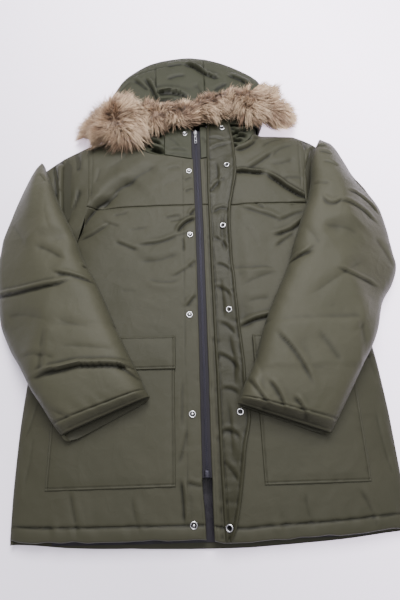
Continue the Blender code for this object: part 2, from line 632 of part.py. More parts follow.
# ------------------------------------------------------------------ zip
y = np.linspace(ZIP_BOTTOM_Y, ZIP_TOP_Y, 13)[:, None]
centre = ZIP.at("centre", y)
top = front_top(centre, y)
for word, a, b in (("left", -ZIP_HALF, -GAP / 2), ("right", GAP / 2, ZIP_HALF)):
    x = centre + np.array([[a, b]])
    sheet("zip_tape_" + word, grid(x, y, top - 2.4), grid(x, y, top - 3.6), TAPE)
y = np.linspace(ZIP_BOTTOM_Y + 12, 383, 13)[:, None]
centre = ZIP.at("centre", y)
top = front_top(centre, y)
x = centre + np.array([[-CHAIN_HALF, -CHAIN_HALF * 0.5, CHAIN_HALF * 0.5, CHAIN_HALF]])
crown = np.array([[0.0, 1.2, 1.2, 0.0]])
sheet("zip_chain", grid(x, y, top - 1.0 + crown), grid(x, y, top - 2.1 + 0 * crown), TOOTH, rough=0.4)


def block(name, centre, half, colour, **look):
    """A rectangular block."""
    u = np.array([[-1.0, 1.0]])
    v = np.array([[-1.0], [1.0]])
    x, y = centre[0] + half[0] * u + 0 * v, centre[1] + half[1] * v + 0 * u
    top, bottom = centre[2] + half[2], centre[2] - half[2]
    return sheet(name, grid(x, y, top), grid(x, y, bottom), colour, **look)


box_z = float(front_top(1.8, ZIP_BOTTOM_Y + 5))
block("zip_box", (1.9, ZIP_BOTTOM_Y + 5.4, box_z - 0.4), (4.6, 6.0, 1.6), TOOTH, rough=0.35)


def cells(name, origin, xs, ys, zs, filled, colour, **look):
    """A solid made of the filled cells of a small grid of planes, closed all round."""
    shape = (len(xs) - 1, len(ys) - 1, len(zs) - 1)
    full = np.zeros(shape, bool)
    for i, j, k in filled:
        full[i, j, k] = True
    numbers, verts, faces = {}, [], []

    def corner(i, j, k):
        if (i, j, k) not in numbers:
            numbers[i, j, k] = len(verts)
            verts.append((origin[0] + xs[i], origin[1] + ys[j], origin[2] + zs[k]))
        return numbers[i, j, k]

    sides = [
        ((1, 0, 0), ((1, 0, 0), (1, 1, 0), (1, 1, 1), (1, 0, 1))),
        ((-1, 0, 0), ((0, 0, 0), (0, 0, 1), (0, 1, 1), (0, 1, 0))),
        ((0, 1, 0), ((0, 1, 0), (0, 1, 1), (1, 1, 1), (1, 1, 0))),
        ((0, -1, 0), ((0, 0, 0), (1, 0, 0), (1, 0, 1), (0, 0, 1))),
        ((0, 0, 1), ((0, 0, 1), (1, 0, 1), (1, 1, 1), (0, 1, 1))),
        ((0, 0, -1), ((0, 0, 0), (0, 1, 0), (1, 1, 0), (1, 0, 0)))]
    for i, j, k in np.argwhere(full):
        for step, corners in sides:
            n = (i + step[0], j + step[1], k + step[2])
            if min(n) < 0 or any(n[a] >= shape[a] for a in range(3)) or not full[n]:
                faces.append([corner(i + a, j + b, k + c) for a, b, c in corners])
    verts = np.array(verts)
    return piece(name, verts, outward(verts, faces), colour, **look)


SLIDER_Y = 385.0                       # hem side of the slider
slider_x = float(ZIP.at("centre", SLIDER_Y + 6))
slider_z = float(front_top(slider_x, SLIDER_Y + 6)) - 2.0
SLIDER_SKIN = 2.4                      # body of the slider
BRIDGE_OPEN = 1.8                      # room under its bridge
BRIDGE_SKIN = 1.1
cells("zip_slider", (slider_x, SLIDER_Y, slider_z), (-4.6, -1.2, 1.2, 4.6), (0, 2.4, 9.6, 12),
      (0, SLIDER_SKIN, SLIDER_SKIN + BRIDGE_OPEN, SLIDER_SKIN + BRIDGE_OPEN + BRIDGE_SKIN),
      [(i, j, 0) for i in range(3) for j in range(3)] + [(1, 0, 1), (1, 2, 1)]
      + [(1, j, 2) for j in range(3)],
      SILVER, rough=0.3, metal=0.9)

# pull: a bar under the bridge, a loop round the bridge's foot, a neck and a tab with a slot
PULL_BAR = 1.1                         # square bar
hinge = (slider_x, SLIDER_Y + 3.6, slider_z + SLIDER_SKIN + BRIDGE_OPEN / 2)
half = PULL_BAR / 2
cells("zip_pull", hinge, (-2.9, -1.5, 1.5, 2.9), (-29, -27, -21, -11, -9.5, -5.2, -half, half), (-half, half),
      [(i, j, 0) for i in range(3) for j in range(7) if not (i == 1 and j in (1, 3, 5))],
      SILVER, rough=0.3, metal=0.9)

# ------------------------------------------------------------------ snaps


def surface_normal(height, x, y):
    """The upward normal of a height function, from its differences over a few millimetres."""
    d = 4.0
    gx = (height(x + d, y) - height(x - d, y)) / (2 * d)
    gy = (height(x, y + d) - height(x, y - d)) / (2 * d)
    return np.array([-float(gx), -float(gy), 1.0])


def flap_top(x, y):
    """Upper side of the turned-back storm flap."""
    u = (x - STORM.at("fold", y)) / (STORM.at("free", y) - STORM.at("fold", y))
    return np.maximum(front_top(x, y), 0) + 0.6 + STORM.at("stand", y) * np.clip(u, 0, 1) ** 2 + FLAP_WALL


# half sections as (radius, height over the cloth): a ring with a dome, and a ring with a hole
STUD = [(0, 0.55), (SNAP_R, 0.55), (SNAP_R, 1.2), (5.0, 1.8), (3.3, 1.5), (2.6, 1.8), (2.5, 3.2), (1.6, 3.9),
        (0, 4.1)]
SOCKET = [(0, 0.85), (SNAP_R, 0.85), (SNAP_R, 1.5), (5.2, 2.4), (3.6, 2.3), (2.7, 1.7), (2.6, 1.1), (0, 1.1)]
for i, (y, x) in enumerate(zip(STUDS.data["y"], STUDS.data["x"]), 1):
    at = np.array([x, y, float(front_top(x, y))])
    turned(f"snap_stud_{i}", STUD, at, surface_normal(front_top, x, y), SILVER, rough=0.25, metal=1.0)
for i, (y, x) in enumerate(zip(SOCKETS.data["y"], SOCKETS.data["x"]), 1):
    at = np.array([x, y, float(flap_top(x, y))])
    turned(f"snap_socket_{i}", SOCKET, at, surface_normal(flap_top, x, y), SILVER, rough=0.25, metal=1.0)

# ------------------------------------------------------------------ into the part's frame
points = np.array([v.co[:] for obj in made for v in obj.data.vertices])
low, high = points.min(0), points.max(0)
origin = np.array([(low[0] + high[0]) / 2, (low[1] + high[1]) / 2, low[2]])
for obj in made:
    for vertex in obj.data.vertices:
        vertex.co = (np.array(vertex.co) - origin) * MM
    obj.data.update()
print("size in millimetres", np.round(high - low, 1), "from the plan's", np.round(origin, 2))
print("pull tab hinge in metres", np.round((np.array(hinge) - origin) * MM, 5))
print("solids", len(made))
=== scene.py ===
# %% [markdown]
# # A fur trimmed parka, laid flat
# The coat lies on its back with the sleeves bent over its fronts. Every piece that a maker would sew gets
# its own mesh here: a thin padded wall over the form of the plain solids that the frame holds. We work in
# the coat's own plan, in millimetres (x across, y from hem to hood, z up), and turn points into metres at
# the end.

# %% Load the frame
import math

import bpy
import numpy as np
from mathutils import Matrix, Vector


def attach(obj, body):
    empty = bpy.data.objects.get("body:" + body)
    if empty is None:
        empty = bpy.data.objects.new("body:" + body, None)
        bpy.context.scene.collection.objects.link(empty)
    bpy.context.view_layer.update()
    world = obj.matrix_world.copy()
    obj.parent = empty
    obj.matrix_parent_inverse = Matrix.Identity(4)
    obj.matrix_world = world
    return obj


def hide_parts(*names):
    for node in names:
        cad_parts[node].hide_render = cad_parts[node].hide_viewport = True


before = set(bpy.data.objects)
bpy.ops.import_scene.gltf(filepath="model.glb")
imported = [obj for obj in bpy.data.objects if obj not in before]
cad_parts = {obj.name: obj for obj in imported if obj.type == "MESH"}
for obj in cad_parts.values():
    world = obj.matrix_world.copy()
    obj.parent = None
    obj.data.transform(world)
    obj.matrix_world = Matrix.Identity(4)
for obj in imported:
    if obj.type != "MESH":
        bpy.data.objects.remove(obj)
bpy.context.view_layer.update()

# %% [markdown]
# The camera stands near the hem and looks down at the coat, tipped 21 degrees from straight down, as a
# person does who leans over a table. It comes first, because it settles which details matter most.

# %% Camera
VIEW_TIP = math.radians(21)
VIEW_TURN = math.radians(-1.8)
VIEW_DISTANCE = 0.80
aim = Vector((0.0030, -0.10755, 0.0))
spin = Matrix.Rotation(VIEW_TURN, 3, "Z")
looking = spin @ Vector((0, math.sin(VIEW_TIP), -math.cos(VIEW_TIP)))
upward = spin @ Vector((0, math.cos(VIEW_TIP), math.sin(VIEW_TIP)))
rightward = spin @ Vector((1, 0, 0))
camera = bpy.data.objects.new("camera", bpy.data.cameras.new("camera"))
bpy.context.scene.collection.objects.link(camera)
camera.data.lens = 24
camera.data.sensor_width = 36
camera.matrix_world = Matrix.Translation(aim - looking * VIEW_DISTANCE) @ Matrix(
    (rightward, upward, -looking)).transposed().to_4x4()
bpy.context.scene.camera = camera
print("camera at", [round(v, 3) for v in camera.matrix_world.translation])

# %% [markdown]
# A big soft light hangs over the hood end and a pale room fills the shadows, so slopes that face the hood
# are a little brighter and folds keep soft dark sides. The floor is a pale sheet that also glows, more
# towards the hood end and the right side: painted light.

# %% Light, room and floor
world = bpy.data.worlds.new("pale room")
bpy.context.scene.world = world
world.use_nodes = True
world.node_tree.nodes["Background"].inputs["Color"].default_value = (0.90, 0.87, 0.96, 1)
world.node_tree.nodes["Background"].inputs["Strength"].default_value = 0.62


def soft_light(name, place, target, size, watts, colour):
    """A square area light at a place, turned to a target."""
    lamp = bpy.data.objects.new(name, bpy.data.lights.new(name, "AREA"))
    lamp.data.size = size
    lamp.data.energy = watts
    lamp.data.color = colour
    lamp.location = place
    lamp.rotation_euler = (Vector(target) - Vector(place)).to_track_quat("-Z", "Y").to_euler()
    bpy.context.scene.collection.objects.link(lamp)
    return lamp


soft_light("window", (0.10, 0.95, 1.65), (0, 0.05, 0), 0.9, 64, (1.0, 0.985, 1.0))
soft_light("ceiling", (0.3, 0.0, 2.3), (0, 0, 0), 1.5, 44, (1.0, 0.99, 0.985))

floor_mesh = bpy.data.meshes.new("floor")
FLOOR_HALF = 6.0
floor_mesh.from_pydata([(-FLOOR_HALF, -FLOOR_HALF, 0), (FLOOR_HALF, -FLOOR_HALF, 0),
                        (FLOOR_HALF, FLOOR_HALF, 0), (-FLOOR_HALF, FLOOR_HALF, 0)], [], [(0, 1, 2, 3)])
floor = bpy.data.objects.new("floor", floor_mesh)
bpy.context.scene.collection.objects.link(floor)
floor_paint = bpy.data.materials.new("pale floor with painted glow")
floor_paint.use_nodes = True
floor_shader = floor_paint.node_tree.nodes["Principled BSDF"]
floor_shader.inputs["Base Color"].default_value = (0.93, 0.88, 0.995, 1)
floor_shader.inputs["Roughness"].default_value = 0.9
# Painted light: the floor glows lavender, more towards the hood end and the right side, up to a limit.
floor_shader.inputs["Emission Color"].default_value = (0.95, 0.80, 1.0, 1)
floor_nodes = floor_paint.node_tree.nodes
floor_links = floor_paint.node_tree.links
floor_place = floor_nodes.new("ShaderNodeTexCoord")
painted_glow_slope = floor_nodes.new("ShaderNodeVectorMath")
painted_glow_slope.operation = "DOT_PRODUCT"
painted_glow_slope.inputs[1].default_value = (1.9, 1.3, 0)
painted_glow_level = floor_nodes.new("ShaderNodeMath")
painted_glow_level.operation = "ADD"
painted_glow_level.inputs[1].default_value = 0.9
painted_glow_limit = floor_nodes.new("ShaderNodeClamp")
painted_glow_limit.inputs["Max"].default_value = 2.4
floor_links.new(floor_place.outputs["Object"], painted_glow_slope.inputs[0])
floor_links.new(painted_glow_slope.outputs["Value"], painted_glow_level.inputs[0])
floor_links.new(painted_glow_level.outputs[0], painted_glow_limit.inputs["Value"])
floor_links.new(painted_glow_limit.outputs[0], floor_shader.inputs["Emission Strength"])
floor_mesh.materials.append(floor_paint)

# %% [markdown]
# ## The coat's plan
# The flat shapes are short tables of measured sizes with a smooth curve through each column. They are the
# same sizes as in the frame, so each fine piece lies where its plain solid does.

# %% Tables with named columns
PLAN_ORIGIN = np.array([-3.0, 107.55, 0.0])   # the frame's origin in the plan, millimetres
MM = 0.001


def to_frame(points):
    """Plan millimetres into the frame's metres."""
    return (np.asarray(points, float) - PLAN_ORIGIN) * MM


class Table:
    """A short table with named columns; the first column is the one it is read along."""

    def __init__(self, columns, rows):
        self.columns = columns
        self.data = {c: np.array([r[i] for r in rows], float) for i, c in enumerate(columns)}

    def rows(self, skip=0):
        """The rows as tuples, without the first few columns."""
        return zip(*(self.data[c] for c in self.columns[skip:]))

    def at(self, column, key):
        """Smooth value of a column at a key (a monotone cubic between rows), level past both ends."""
        xs, ys = self.data[self.columns[0]], self.data[column]
        key = np.clip(np.asarray(key, float), xs[0], xs[-1])
        step = np.diff(xs)
        slope = np.diff(ys) / step
        same = slope[:-1] * slope[1:] > 0
        middle = np.where(same, 2 * slope[:-1] * slope[1:] / np.where(same, slope[:-1] + slope[1:], 1), 0)
        tangent = np.concatenate([[slope[0]], middle, [slope[-1]]])
        i = np.clip(np.searchsorted(xs, key) - 1, 0, len(xs) - 2)
        t = (key - xs[i]) / step[i]
        return ((2 * t**3 - 3 * t**2 + 1) * ys[i] + (t**3 - 2 * t**2 + t) * step[i] * tangent[i]
                + (3 * t**2 - 2 * t**3) * ys[i + 1] + (t**3 - t**2) * step[i] * tangent[i + 1])


# %% Sizes of the coat
SEAM_Z = 14.0        # side seams, shoulder seams and folded rims lie this high
BODY_WALL = 5.0
SLEEVE_WALL = 4.0
HOOD_WALL = 3.5
HOOD_Z = 38.6
POCKET_WALL = 2.2
FLAP_WALL = 3.0
GAP = 0.3
SEAM_GAP = 0.3
YOKE_Y = 200.0
ARM_LOW_Y = 100.0
ZIP_BOTTOM_Y = -324.0
ZIP_TOP_Y = 398.0
ZIP_HALF = 8.6
HEM_BAND = 22.0      # hem stitching above the edge
CUFF_BAND = 18.0

SIDES = Table(("y", "left", "right"), [
    (-430, -313, 321), (-400, -316, 323), (-320, -320, 327), (-250, -321, 327), (-160, -318, 324),
    (-60, -304, 314), (40, -284, 292), (100, -264, 266), (127, -248, 250), (164, -236, 236),
    (215, -229, 229), (269, -232, 234), (330, -236, 242), (344, -240, 241), (372, -246, 228),
                                       (400, -246, 224)])
TOPS = Table(("x", "top", "front_hem", "back_hem"), [
    (-330, 352, -408, -412), (-262, 366, -411, -418), (-235, 376, -411.5, -421), (-183, 391, -412.5, -424),
    (-160, 393, -413, -425), (-145, 384, -413, -425), (-127, 353, -413, -425.5), (-93, 335, -413.5, -427),
    (-62, 330, -414, -428), (-30, 323, -414.5, -429), (0, 317, -415, -429.5), (30, 322, -420, -430),
    (62, 334, -421, -430), (90, 347, -419, -429), (118, 366, -418, -428), (140, 388, -417, -427),
    (160, 393, -416.5, -426), (200, 391, -415, -424), (241, 389, -413, -421), (270, 370, -411, -418),
    (330, 352, -408, -412)])
CREST = Table(("y", "height"), [
    (-430, 27), (-400, 29), (-340, 32), (-200, 35), (0, 37), (200, 37), (320, 38), (440, 38)])
STORM = Table(("y", "fold", "free", "stand"), [
    (-416, 27, 38, 3), (-397, 26, 46, 5), (-356, 25, 56, 4), (-282, 24, 68, 7), (-225, 24, 79, 3),
    (-160, 24, 76, 8), (-80, 23, 73, 4), (-5, 23, 70, 7), (76, 23, 67, 3), (133, 23, 66, 6), (194, 23, 70, 3),
    (225, 23, 77, 5), (282, 24, 87, 8), (341, 25, 87, 4), (390, 27, 82, 3), (424, 28, 79, 2)])
ZIP = Table(("y", "centre"), [(-420, 3.0), (-330, 1.8), (-100, 3.0), (150, 3.5), (300, 2.5), (410, 1.5)])
FRONT_GAP = Table(("y", "left", "right"), [
    (-420, -2.6, 10.2), (-385, -3.2, 9.6), (-350, -5.4, 9.4), (-326, -6.9, 10.3)])
print("plan is", TOPS.data["x"][-1] - TOPS.data["x"][0], "mm wide at the shoulders")

# %% [markdown]
# ## Form functions
# Each surface is a height over the plan. A flat padded body is a low dome between its side seams; above the
# underarm its sides stay open, because it leads on into the sleeves.


# %% Height of the fronts and the back
def smooth(t):
    """Smoothstep of a value clipped to 0..1: three t squared less two t cubed."""
    t = np.clip(t, 0, 1)
    return t * t * (3 - 2 * t)


def dome(e, power=6):
    """Section of a flat bag, the root of one less |e| to a power: 1 in the middle, 0 at both rims."""
    return np.sqrt(np.clip(1 - np.abs(np.clip(e, -1, 1)) ** power, 0, 1))


def closing(x, y):
    """1 inside the coat, falling as a quarter circle to 0 on its shoulder line; the neckline stays open."""
    shoulder = smooth((np.abs(x) - 128) / 30)
    near = np.clip((TOPS.at("top", x) - y) / 62, 0, 1)
    return 1 - shoulder * (1 - np.sqrt(np.clip(1 - (1 - near) ** 2, 0, 1)))


def box_ramp(value, low, high, ramp):
    """1 between two limits, falling softly to 0 outside them."""
    return smooth((value - low + ramp) / ramp) * smooth((high + ramp - value) / ramp)


def across(x, y):
    """-1 on the left side or armhole, 1 on the right one."""
    left, right = SIDES.at("left", y), SIDES.at("right", y)
    return (2 * x - left - right) / (right - left)


def open_edge(y):
    """0 where the side is a closed seam, towards 1 where the armhole leads into the sleeve."""
    return smooth((y - ARM_LOW_Y) / 60)


def fullness(x, y):
    """Share of the full height at a place: the dome across, times the closing at the shoulder."""
    edge = open_edge(y) * 0.88
    return closing(x, y) * (edge + (1 - edge) * dome(across(x, y)))


def front_form(x, y):
    """Upper side of fronts and yokes without folds: seam height plus the crest's height times the
    fullness."""
    return SEAM_Z + (CREST.at("height", y) - SEAM_Z) * fullness(x, y)


def back_form(x, y):
    """Underside of the back: flat on the surface, curling up to the seams."""
    edge = open_edge(y)
    return SEAM_Z - SEAM_Z * closing(x, y) * (edge + (1 - edge) * dome(across(x, y), 12))


# %% [markdown]
# Cloth is never even. Value noise (random numbers on a lattice with a smooth blend between them) gives slow
# swells in the padding and small puckers beside seams. It is worked out from the place, so it never
# changes.


# %% Uneven padding and puckers
def lattice(i, j, seed):
    """A fixed random value from -1 to 1 for each lattice point."""
    h = np.sin(i * 127.1 + j * 311.7 + seed * 74.7) * 43758.5453
    return 2 * (h - np.floor(h)) - 1


def swell(x, y, size, seed):
    """Value noise, -1..1: lattice values blended with smoothstep over features of a given size."""
    gx, gy = np.asarray(x) / size + 500, np.asarray(y) / size + 500
    i, j = np.floor(gx), np.floor(gy)
    u, v = smooth(gx - i), smooth(gy - j)
    low = lattice(i, j, seed) * (1 - u) + lattice(i + 1, j, seed) * u
    high = lattice(i, j + 1, seed) * (1 - u) + lattice(i + 1, j + 1, seed) * u
    return low * (1 - v) + high * v


def padding(x, y, seed, amount=1.0):
    """Slow swells of padded cloth with a fine crumple: three sizes of noise, in millimetres of height."""
    turned_x, turned_y = 0.8 * x - 0.6 * y, 0.6 * x + 0.8 * y
    return amount * (0.95 * swell(turned_x, turned_y, 74, seed) + 0.42 * swell(x, y, 29, seed + 1)
                     + 0.13 * swell(turned_x, turned_y, 9, seed + 2))


def roll(distance, radius):
    """How far an edge turns down: a quarter circle of a radius, gone past that distance from the edge."""
    near = np.clip(radius - distance, 0, radius)
    return radius - np.sqrt(np.clip(radius**2 - near**2, 0, None))


FOLD_STRENGTH = 1.45
FOLD_COLUMNS = ("x0", "y0", "x1", "y1", "bow", "depth", "width", "side")


def folds(x, y, table, seed=0):
    """Folds drawn along bowed lines: each sinks exp(-|off| / width) across its line, steep towards its
    bank and gentle behind, rises to a rounded bank on its hood side and fades at both ends. The bow is
    the line's height over its chord, to the left of its direction."""
    total = np.zeros(np.broadcast(x, y).shape)
    wander = 1.3 * swell(x, y, 26, seed + 11)
    for x0, y0, x1, y1, bow, depth, width, side in table.rows():
        dx, dy = x1 - x0, y1 - y0
        length = math.hypot(dx, dy)
        t = ((x - x0) * dx + (y - y0) * dy) / length**2
        off = ((y - y0) * dx - (x - x0) * dy) / length - bow * 4 * t * (1 - t) + wander
        off = off * (1 if dx > 0 else -1)
        fade = smooth((t + 0.16) / 0.36) * smooth((1.16 - t) / 0.36)
        steep = np.where(off * side > 0, 0.75, 2.0) * width
        trough = np.exp(-np.clip((np.sqrt(off**2 + 0.5) - 0.7) / steep, 0, 9))
        bank = np.exp(-np.clip((off - math.copysign(1.8, side) * width) / (1.5 * width), -6, 6) ** 2)
        total += fade * depth * FOLD_STRENGTH * (0.9 * abs(side) * bank - trough)
    return total


SEAM_COLUMNS = ("x0", "y0", "x1", "y1", "groove", "width", "pucker", "wave", "reach")


def seams(x, y, table, seed=0):
    """Stitched lines: a narrow groove with puckers that run out square to it and fade over their reach."""
    total = np.zeros(np.broadcast(x, y).shape)
    for number, (x0, y0, x1, y1, groove, width, pucker, wave, reach) in enumerate(table.rows()):
        dx, dy = x1 - x0, y1 - y0
        length = math.hypot(dx, dy)
        along = ((x - x0) * dx + (y - y0) * dy) / length
        off = ((y - y0) * dx - (x - x0) * dy) / length
        on = smooth((along + 3) / 6) * smooth((length + 3 - along) / 6)
        bumps = swell(along + 0.25 * np.abs(off), off * 0.22 + 40 * number, wave, seed + number)
        gather = 0.55 + 0.45 * swell(along, 0 * off, wave * 5, seed + 3)
        total += on * (pucker * gather * bumps * np.exp(-np.abs(off) / reach)
                       - groove * np.exp(-np.clip(off / width, -6, 6) ** 2))
    return total


print("form functions ready; crest", float(CREST.at("height", 0)), "mm")

# %% [markdown]
# ## Closed walls from grids
# A cloth piece is a wall: a fine grid of points outside, a coarse one inside, and a strip of faces that
# joins their borders. Coarse inner sides keep the meshes light, since nothing fine shows there.


# %% Faces of grids
def grid_quads(n, m, start=0, closed=False):
    """Faces of a grid of n by m points; closed also joins the last column to the first."""
    at = start + np.arange(n * m).reshape(n, m)
    left = at if closed else at[:, :-1]
    right = np.roll(at, -1, 1) if closed else at[:, 1:]
    return np.stack([left[:-1], right[:-1], right[1:], left[1:]], -1).reshape(-1, 4)


def border(n, m, start=0):
    """Point numbers round the border of a grid, in order."""
    at = start + np.arange(n * m).reshape(n, m)
    return np.concatenate([at[0, :-1], at[:-1, -1], at[-1, :0:-1], at[:0:-1, 0]])


def bridge(fine, coarse, step):
    """Triangles between a closed ring of points and another with every step-th point of it."""
    count = len(fine)
    near = ((np.arange(count) + step // 2) // step) % len(coarse)
    after = (np.arange(count) + 1) % count
    a, b = fine, fine[after]
    c, d = coarse[near], coarse[near[after]]
    return np.vstack([np.stack([b, a, c], -1), np.stack([b, c, d], -1)[c != d]])


def cap(ring, centre, flip=False):
    """Triangles from a closed ring to one centre point."""
    after = np.roll(ring, -1)
    middle = np.full(len(ring), centre)
    return np.stack([ring, after, middle] if flip else [after, ring, middle], -1)


def cloth_uv(points, closed=False):
    """Flat cloth coordinates in metres: length along each row from its middle, and up the middle column."""
    if closed:
        points = np.concatenate([points, points[:, :1]], axis=1)
    steps = np.linalg.norm(np.diff(points, axis=1), axis=2)
    u = np.concatenate([np.zeros((len(points), 1)), np.cumsum(steps, 1)], 1)
    middle = points.shape[1] // 2
    u = u - u[:, [middle]]
    v = np.concatenate([[0], np.cumsum(np.linalg.norm(np.diff(points[:, middle], axis=0), axis=1))])
    return np.stack([u, v[:, None] + 0 * u], -1) * MM


def corner_uv(uv):
    """The flat coordinates of each face's four corners."""
    return np.stack([uv[:-1, :-1], uv[:-1, 1:], uv[1:, 1:], uv[1:, :-1]], 2).reshape(-1, 4, 2)


def tri_corners(points, faces, scale=MM):
    """Flat coordinates for loose triangles, seen from above."""
    return points[faces][:, :, :2] * scale


HOLLOW_REACH = 3      # neighbours to each side that the mean takes in
HOLLOW_DEPTH = 1.5    # depth that counts as a full hollow


def hollows(points, closed=False):
    """How deep each point of a grid lies below the mean of its neighbourhood, from 0 to 1 at a full
    hollow; the cloth finishes paint shade by it."""
    z = points[..., 2]
    mean = z
    for axis in (0, 1):
        wrap = closed and axis == 1
        padded = np.pad(mean, [(HOLLOW_REACH, HOLLOW_REACH) if a == axis else (0, 0) for a in (0, 1)],
                        mode="wrap" if wrap else "edge")
        size = z.shape[axis]
        mean = sum(np.take(padded, np.arange(s, s + size), axis) for s in range(2 * HOLLOW_REACH + 1))
        mean = mean / (2 * HOLLOW_REACH + 1)
    return np.clip((mean - z - 0.08) / HOLLOW_DEPTH, 0, 1)


class Skin:
    """Points, faces, flat coordinates and hollows of one mesh, gathered part by part; the hollows set painted
    shade.
    """

    def __init__(self):
        self.points, self.quads, self.quad_uv, self.tris, self.tri_uv = [], [], [], [], []
        self.painted_shade_amount = []
        self.count = 0

    def add(self, points, quads=None, quad_uv=None, tris=None, tri_uv=None):
        points = np.asarray(points, float).reshape(-1, 3)
        if quads is not None:
            self.quads.append(quads + self.count)
            self.quad_uv.append(quad_uv if quad_uv is not None else points[quads][:, :, :2] * MM)
        if tris is not None:
            self.tris.append(tris + self.count)
            self.tri_uv.append(tri_uv if tri_uv is not None else tri_corners(points, tris))
        self.points.append(points)
        self.count += len(points)


def panel_skin(outer, inner, step):
    """A closed wall between a fine outer grid and an inner grid with every step-th point."""
    n, m = outer.shape[:2]
    k, l = inner.shape[:2]
    skin = Skin()
    points = np.vstack([outer.reshape(-1, 3), inner.reshape(-1, 3)])
    quads = np.vstack([grid_quads(n, m), grid_quads(k, l, n * m)[:, ::-1]])
    uv = np.vstack([corner_uv(cloth_uv(outer)), corner_uv(cloth_uv(inner))[:, ::-1]])
    skin.add(points, quads, uv, bridge(border(n, m), border(k, l, n * m), step))
    # The inner side gets a fixed share of painted shade.
    skin.painted_shade_amount = np.concatenate([hollows(outer).ravel(), np.full(k * l, 0.4)])
    return skin


def tube_skin(outer, inner, step):
    """A cloth tube, closed at its first ring and open at its last, with a coarser inner side."""
    n, m = outer.shape[:2]
    k, l = inner.shape[:2]
    base = n * m
    tip, core = base + k * l, base + k * l + 1
    points = np.vstack([outer.reshape(-1, 3), inner.reshape(-1, 3), [outer[0].mean(0)], [inner[0].mean(0)]])
    quads = np.vstack([grid_quads(n, m, 0, True), grid_quads(k, l, base, True)[:, ::-1]])
    uv = np.vstack([corner_uv(cloth_uv(outer, True)), corner_uv(cloth_uv(inner, True))[:, ::-1]])
    last, last_in = np.arange(base - m, base), base + (k - 1) * l + np.arange(l)
    tris = np.vstack([bridge(last, last_in, step)[:, ::-1], cap(np.arange(m), tip),
                      cap(base + np.arange(l), core, True)])
    skin = Skin()
    skin.add(points, quads, uv, tris)
    # The inner side gets a fixed share of painted shade.
    skin.painted_shade_amount = np.concatenate([hollows(outer, True).ravel(), np.full(k * l + 2, 0.4)])
    return skin


# %% [markdown]
# Each finished skin becomes one object. We turn its faces outwards if its signed volume is negative, give
# it its flat coordinates for the weave, hang it on its body and hide the plain solids that it stands for.


# %% From a skin to a finished piece
def enclosed(points, tris):
    """Signed volume of a closed mesh, a sixth of the sum of a . (b x c) over its triangles."""
    a, b, c = (points[tris[:, i]] for i in range(3))
    return float(np.einsum("ij,ij->i", a, np.cross(b, c)).sum() / 6)


def finish_piece(name, skin, material, nodes=(), body="coat", flat_angle=60):
    """Makes the mesh object, faces out and smooth, and hangs it on its body in place of its plain solids."""
    points = to_frame(np.vstack(skin.points))
    quads = np.vstack(skin.quads) if skin.quads else np.zeros((0, 4), int)
    tris = np.vstack(skin.tris) if skin.tris else np.zeros((0, 3), int)
    quad_uv = np.vstack(skin.quad_uv) if skin.quads else np.zeros((0, 4, 2))
    tri_uv = np.vstack(skin.tri_uv) if skin.tris else np.zeros((0, 3, 2))
    if enclosed(points, np.vstack([quads[:, :3], quads[:, [0, 2, 3]], tris])) < 0:
        quads, quad_uv, tris, tri_uv = quads[:, ::-1], quad_uv[:, ::-1], tris[:, ::-1], tri_uv[:, ::-1]
    corners = np.concatenate([quads.ravel(), tris.ravel()])
    sizes = np.concatenate([np.full(len(quads), 4), np.full(len(tris), 3)])
    mesh = bpy.data.meshes.new(name)
    mesh.vertices.add(len(points))
    mesh.vertices.foreach_set("co", points.astype(np.float32).ravel())
    mesh.loops.add(len(corners))
    mesh.loops.foreach_set("vertex_index", corners.astype(np.int32))
    mesh.polygons.add(len(sizes))
    mesh.polygons.foreach_set("loop_start", np.concatenate([[0], np.cumsum(sizes)[:-1]]).astype(np.int32))
    layer = mesh.uv_layers.new(name="cloth")
    layer.data.foreach_set("uv", np.vstack([quad_uv.reshape(-1, 2),
                                            tri_uv.reshape(-1, 2)]).astype(np.float32).ravel())
    # The hollows go on the mesh as an attribute that sets painted shade.
    if len(skin.painted_shade_amount):
        shade = mesh.attributes.new("painted_shade_amount", "FLOAT", "POINT")
        shade.data.foreach_set("value", np.asarray(skin.painted_shade_amount, np.float32))
    mesh.update(calc_edges=True)
    mesh.shade_smooth()
    mesh.set_sharp_from_angle(angle=math.radians(flat_angle))
    mesh.materials.append(material)
    piece = bpy.data.objects.new(name, mesh)
    bpy.context.scene.collection.objects.link(piece)
    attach(piece, body)
    if nodes:
        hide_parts(*([nodes] if isinstance(nodes, str) else nodes))
    print(f"{name}: {2 * len(quads) + len(tris)} triangles")
    return piece


def spaced(length, step, rim=4.0, fine=1.0, multiple=4):
    """0..1 along a length, with closer points within a rim of both ends and a whole number of coarse
    steps."""
    edge = np.arange(0, rim, fine)
    count = int(math.ceil((length - 2 * rim) / step))
    count += (-(2 * len(edge) + count)) % multiple
    return np.concatenate([edge, np.linspace(rim, length - rim, count + 1), length - edge[::-1]]) / length


def lowest_near(z, reach):
    """The lowest height within a few points of each one, along both directions."""
    for axis in (0, 1):
        padded = np.pad(z, [(reach, reach) if a == axis else (0, 0) for a in (0, 1)], mode="edge")
        size = z.shape[axis]
        z = np.min([np.take(padded, np.arange(s, s + size), axis) for s in range(2 * reach + 1)], axis=0)
    return z


def grid(x, y, z):
    """Three arrays as one grid of points."""
    return np.stack(np.broadcast_arrays(x, y, z), axis=-1)


def lay_sheet(outer):
    """Prints the flat size of a piece's outer grid: its longest row and column, and its area, kept between
    0.31 and 1 of their product."""
    rows = np.linalg.norm(np.diff(outer, axis=1), axis=2).sum(1)
    columns = np.linalg.norm(np.diff(outer, axis=0), axis=2).sum(0)
    a, b = outer[1:, 1:] - outer[:-1, :-1], outer[1:, :-1] - outer[:-1, 1:]
    area = 0.5 * np.linalg.norm(np.cross(a, b), axis=2).sum() * MM**2
    width, length = rows.max() * MM, columns.max() * MM
    area = min(max(area, 0.31 * width * length), width * length)
    print(f"  cut {width:.3f} by {length:.3f} m, {area:.4f} square metres")
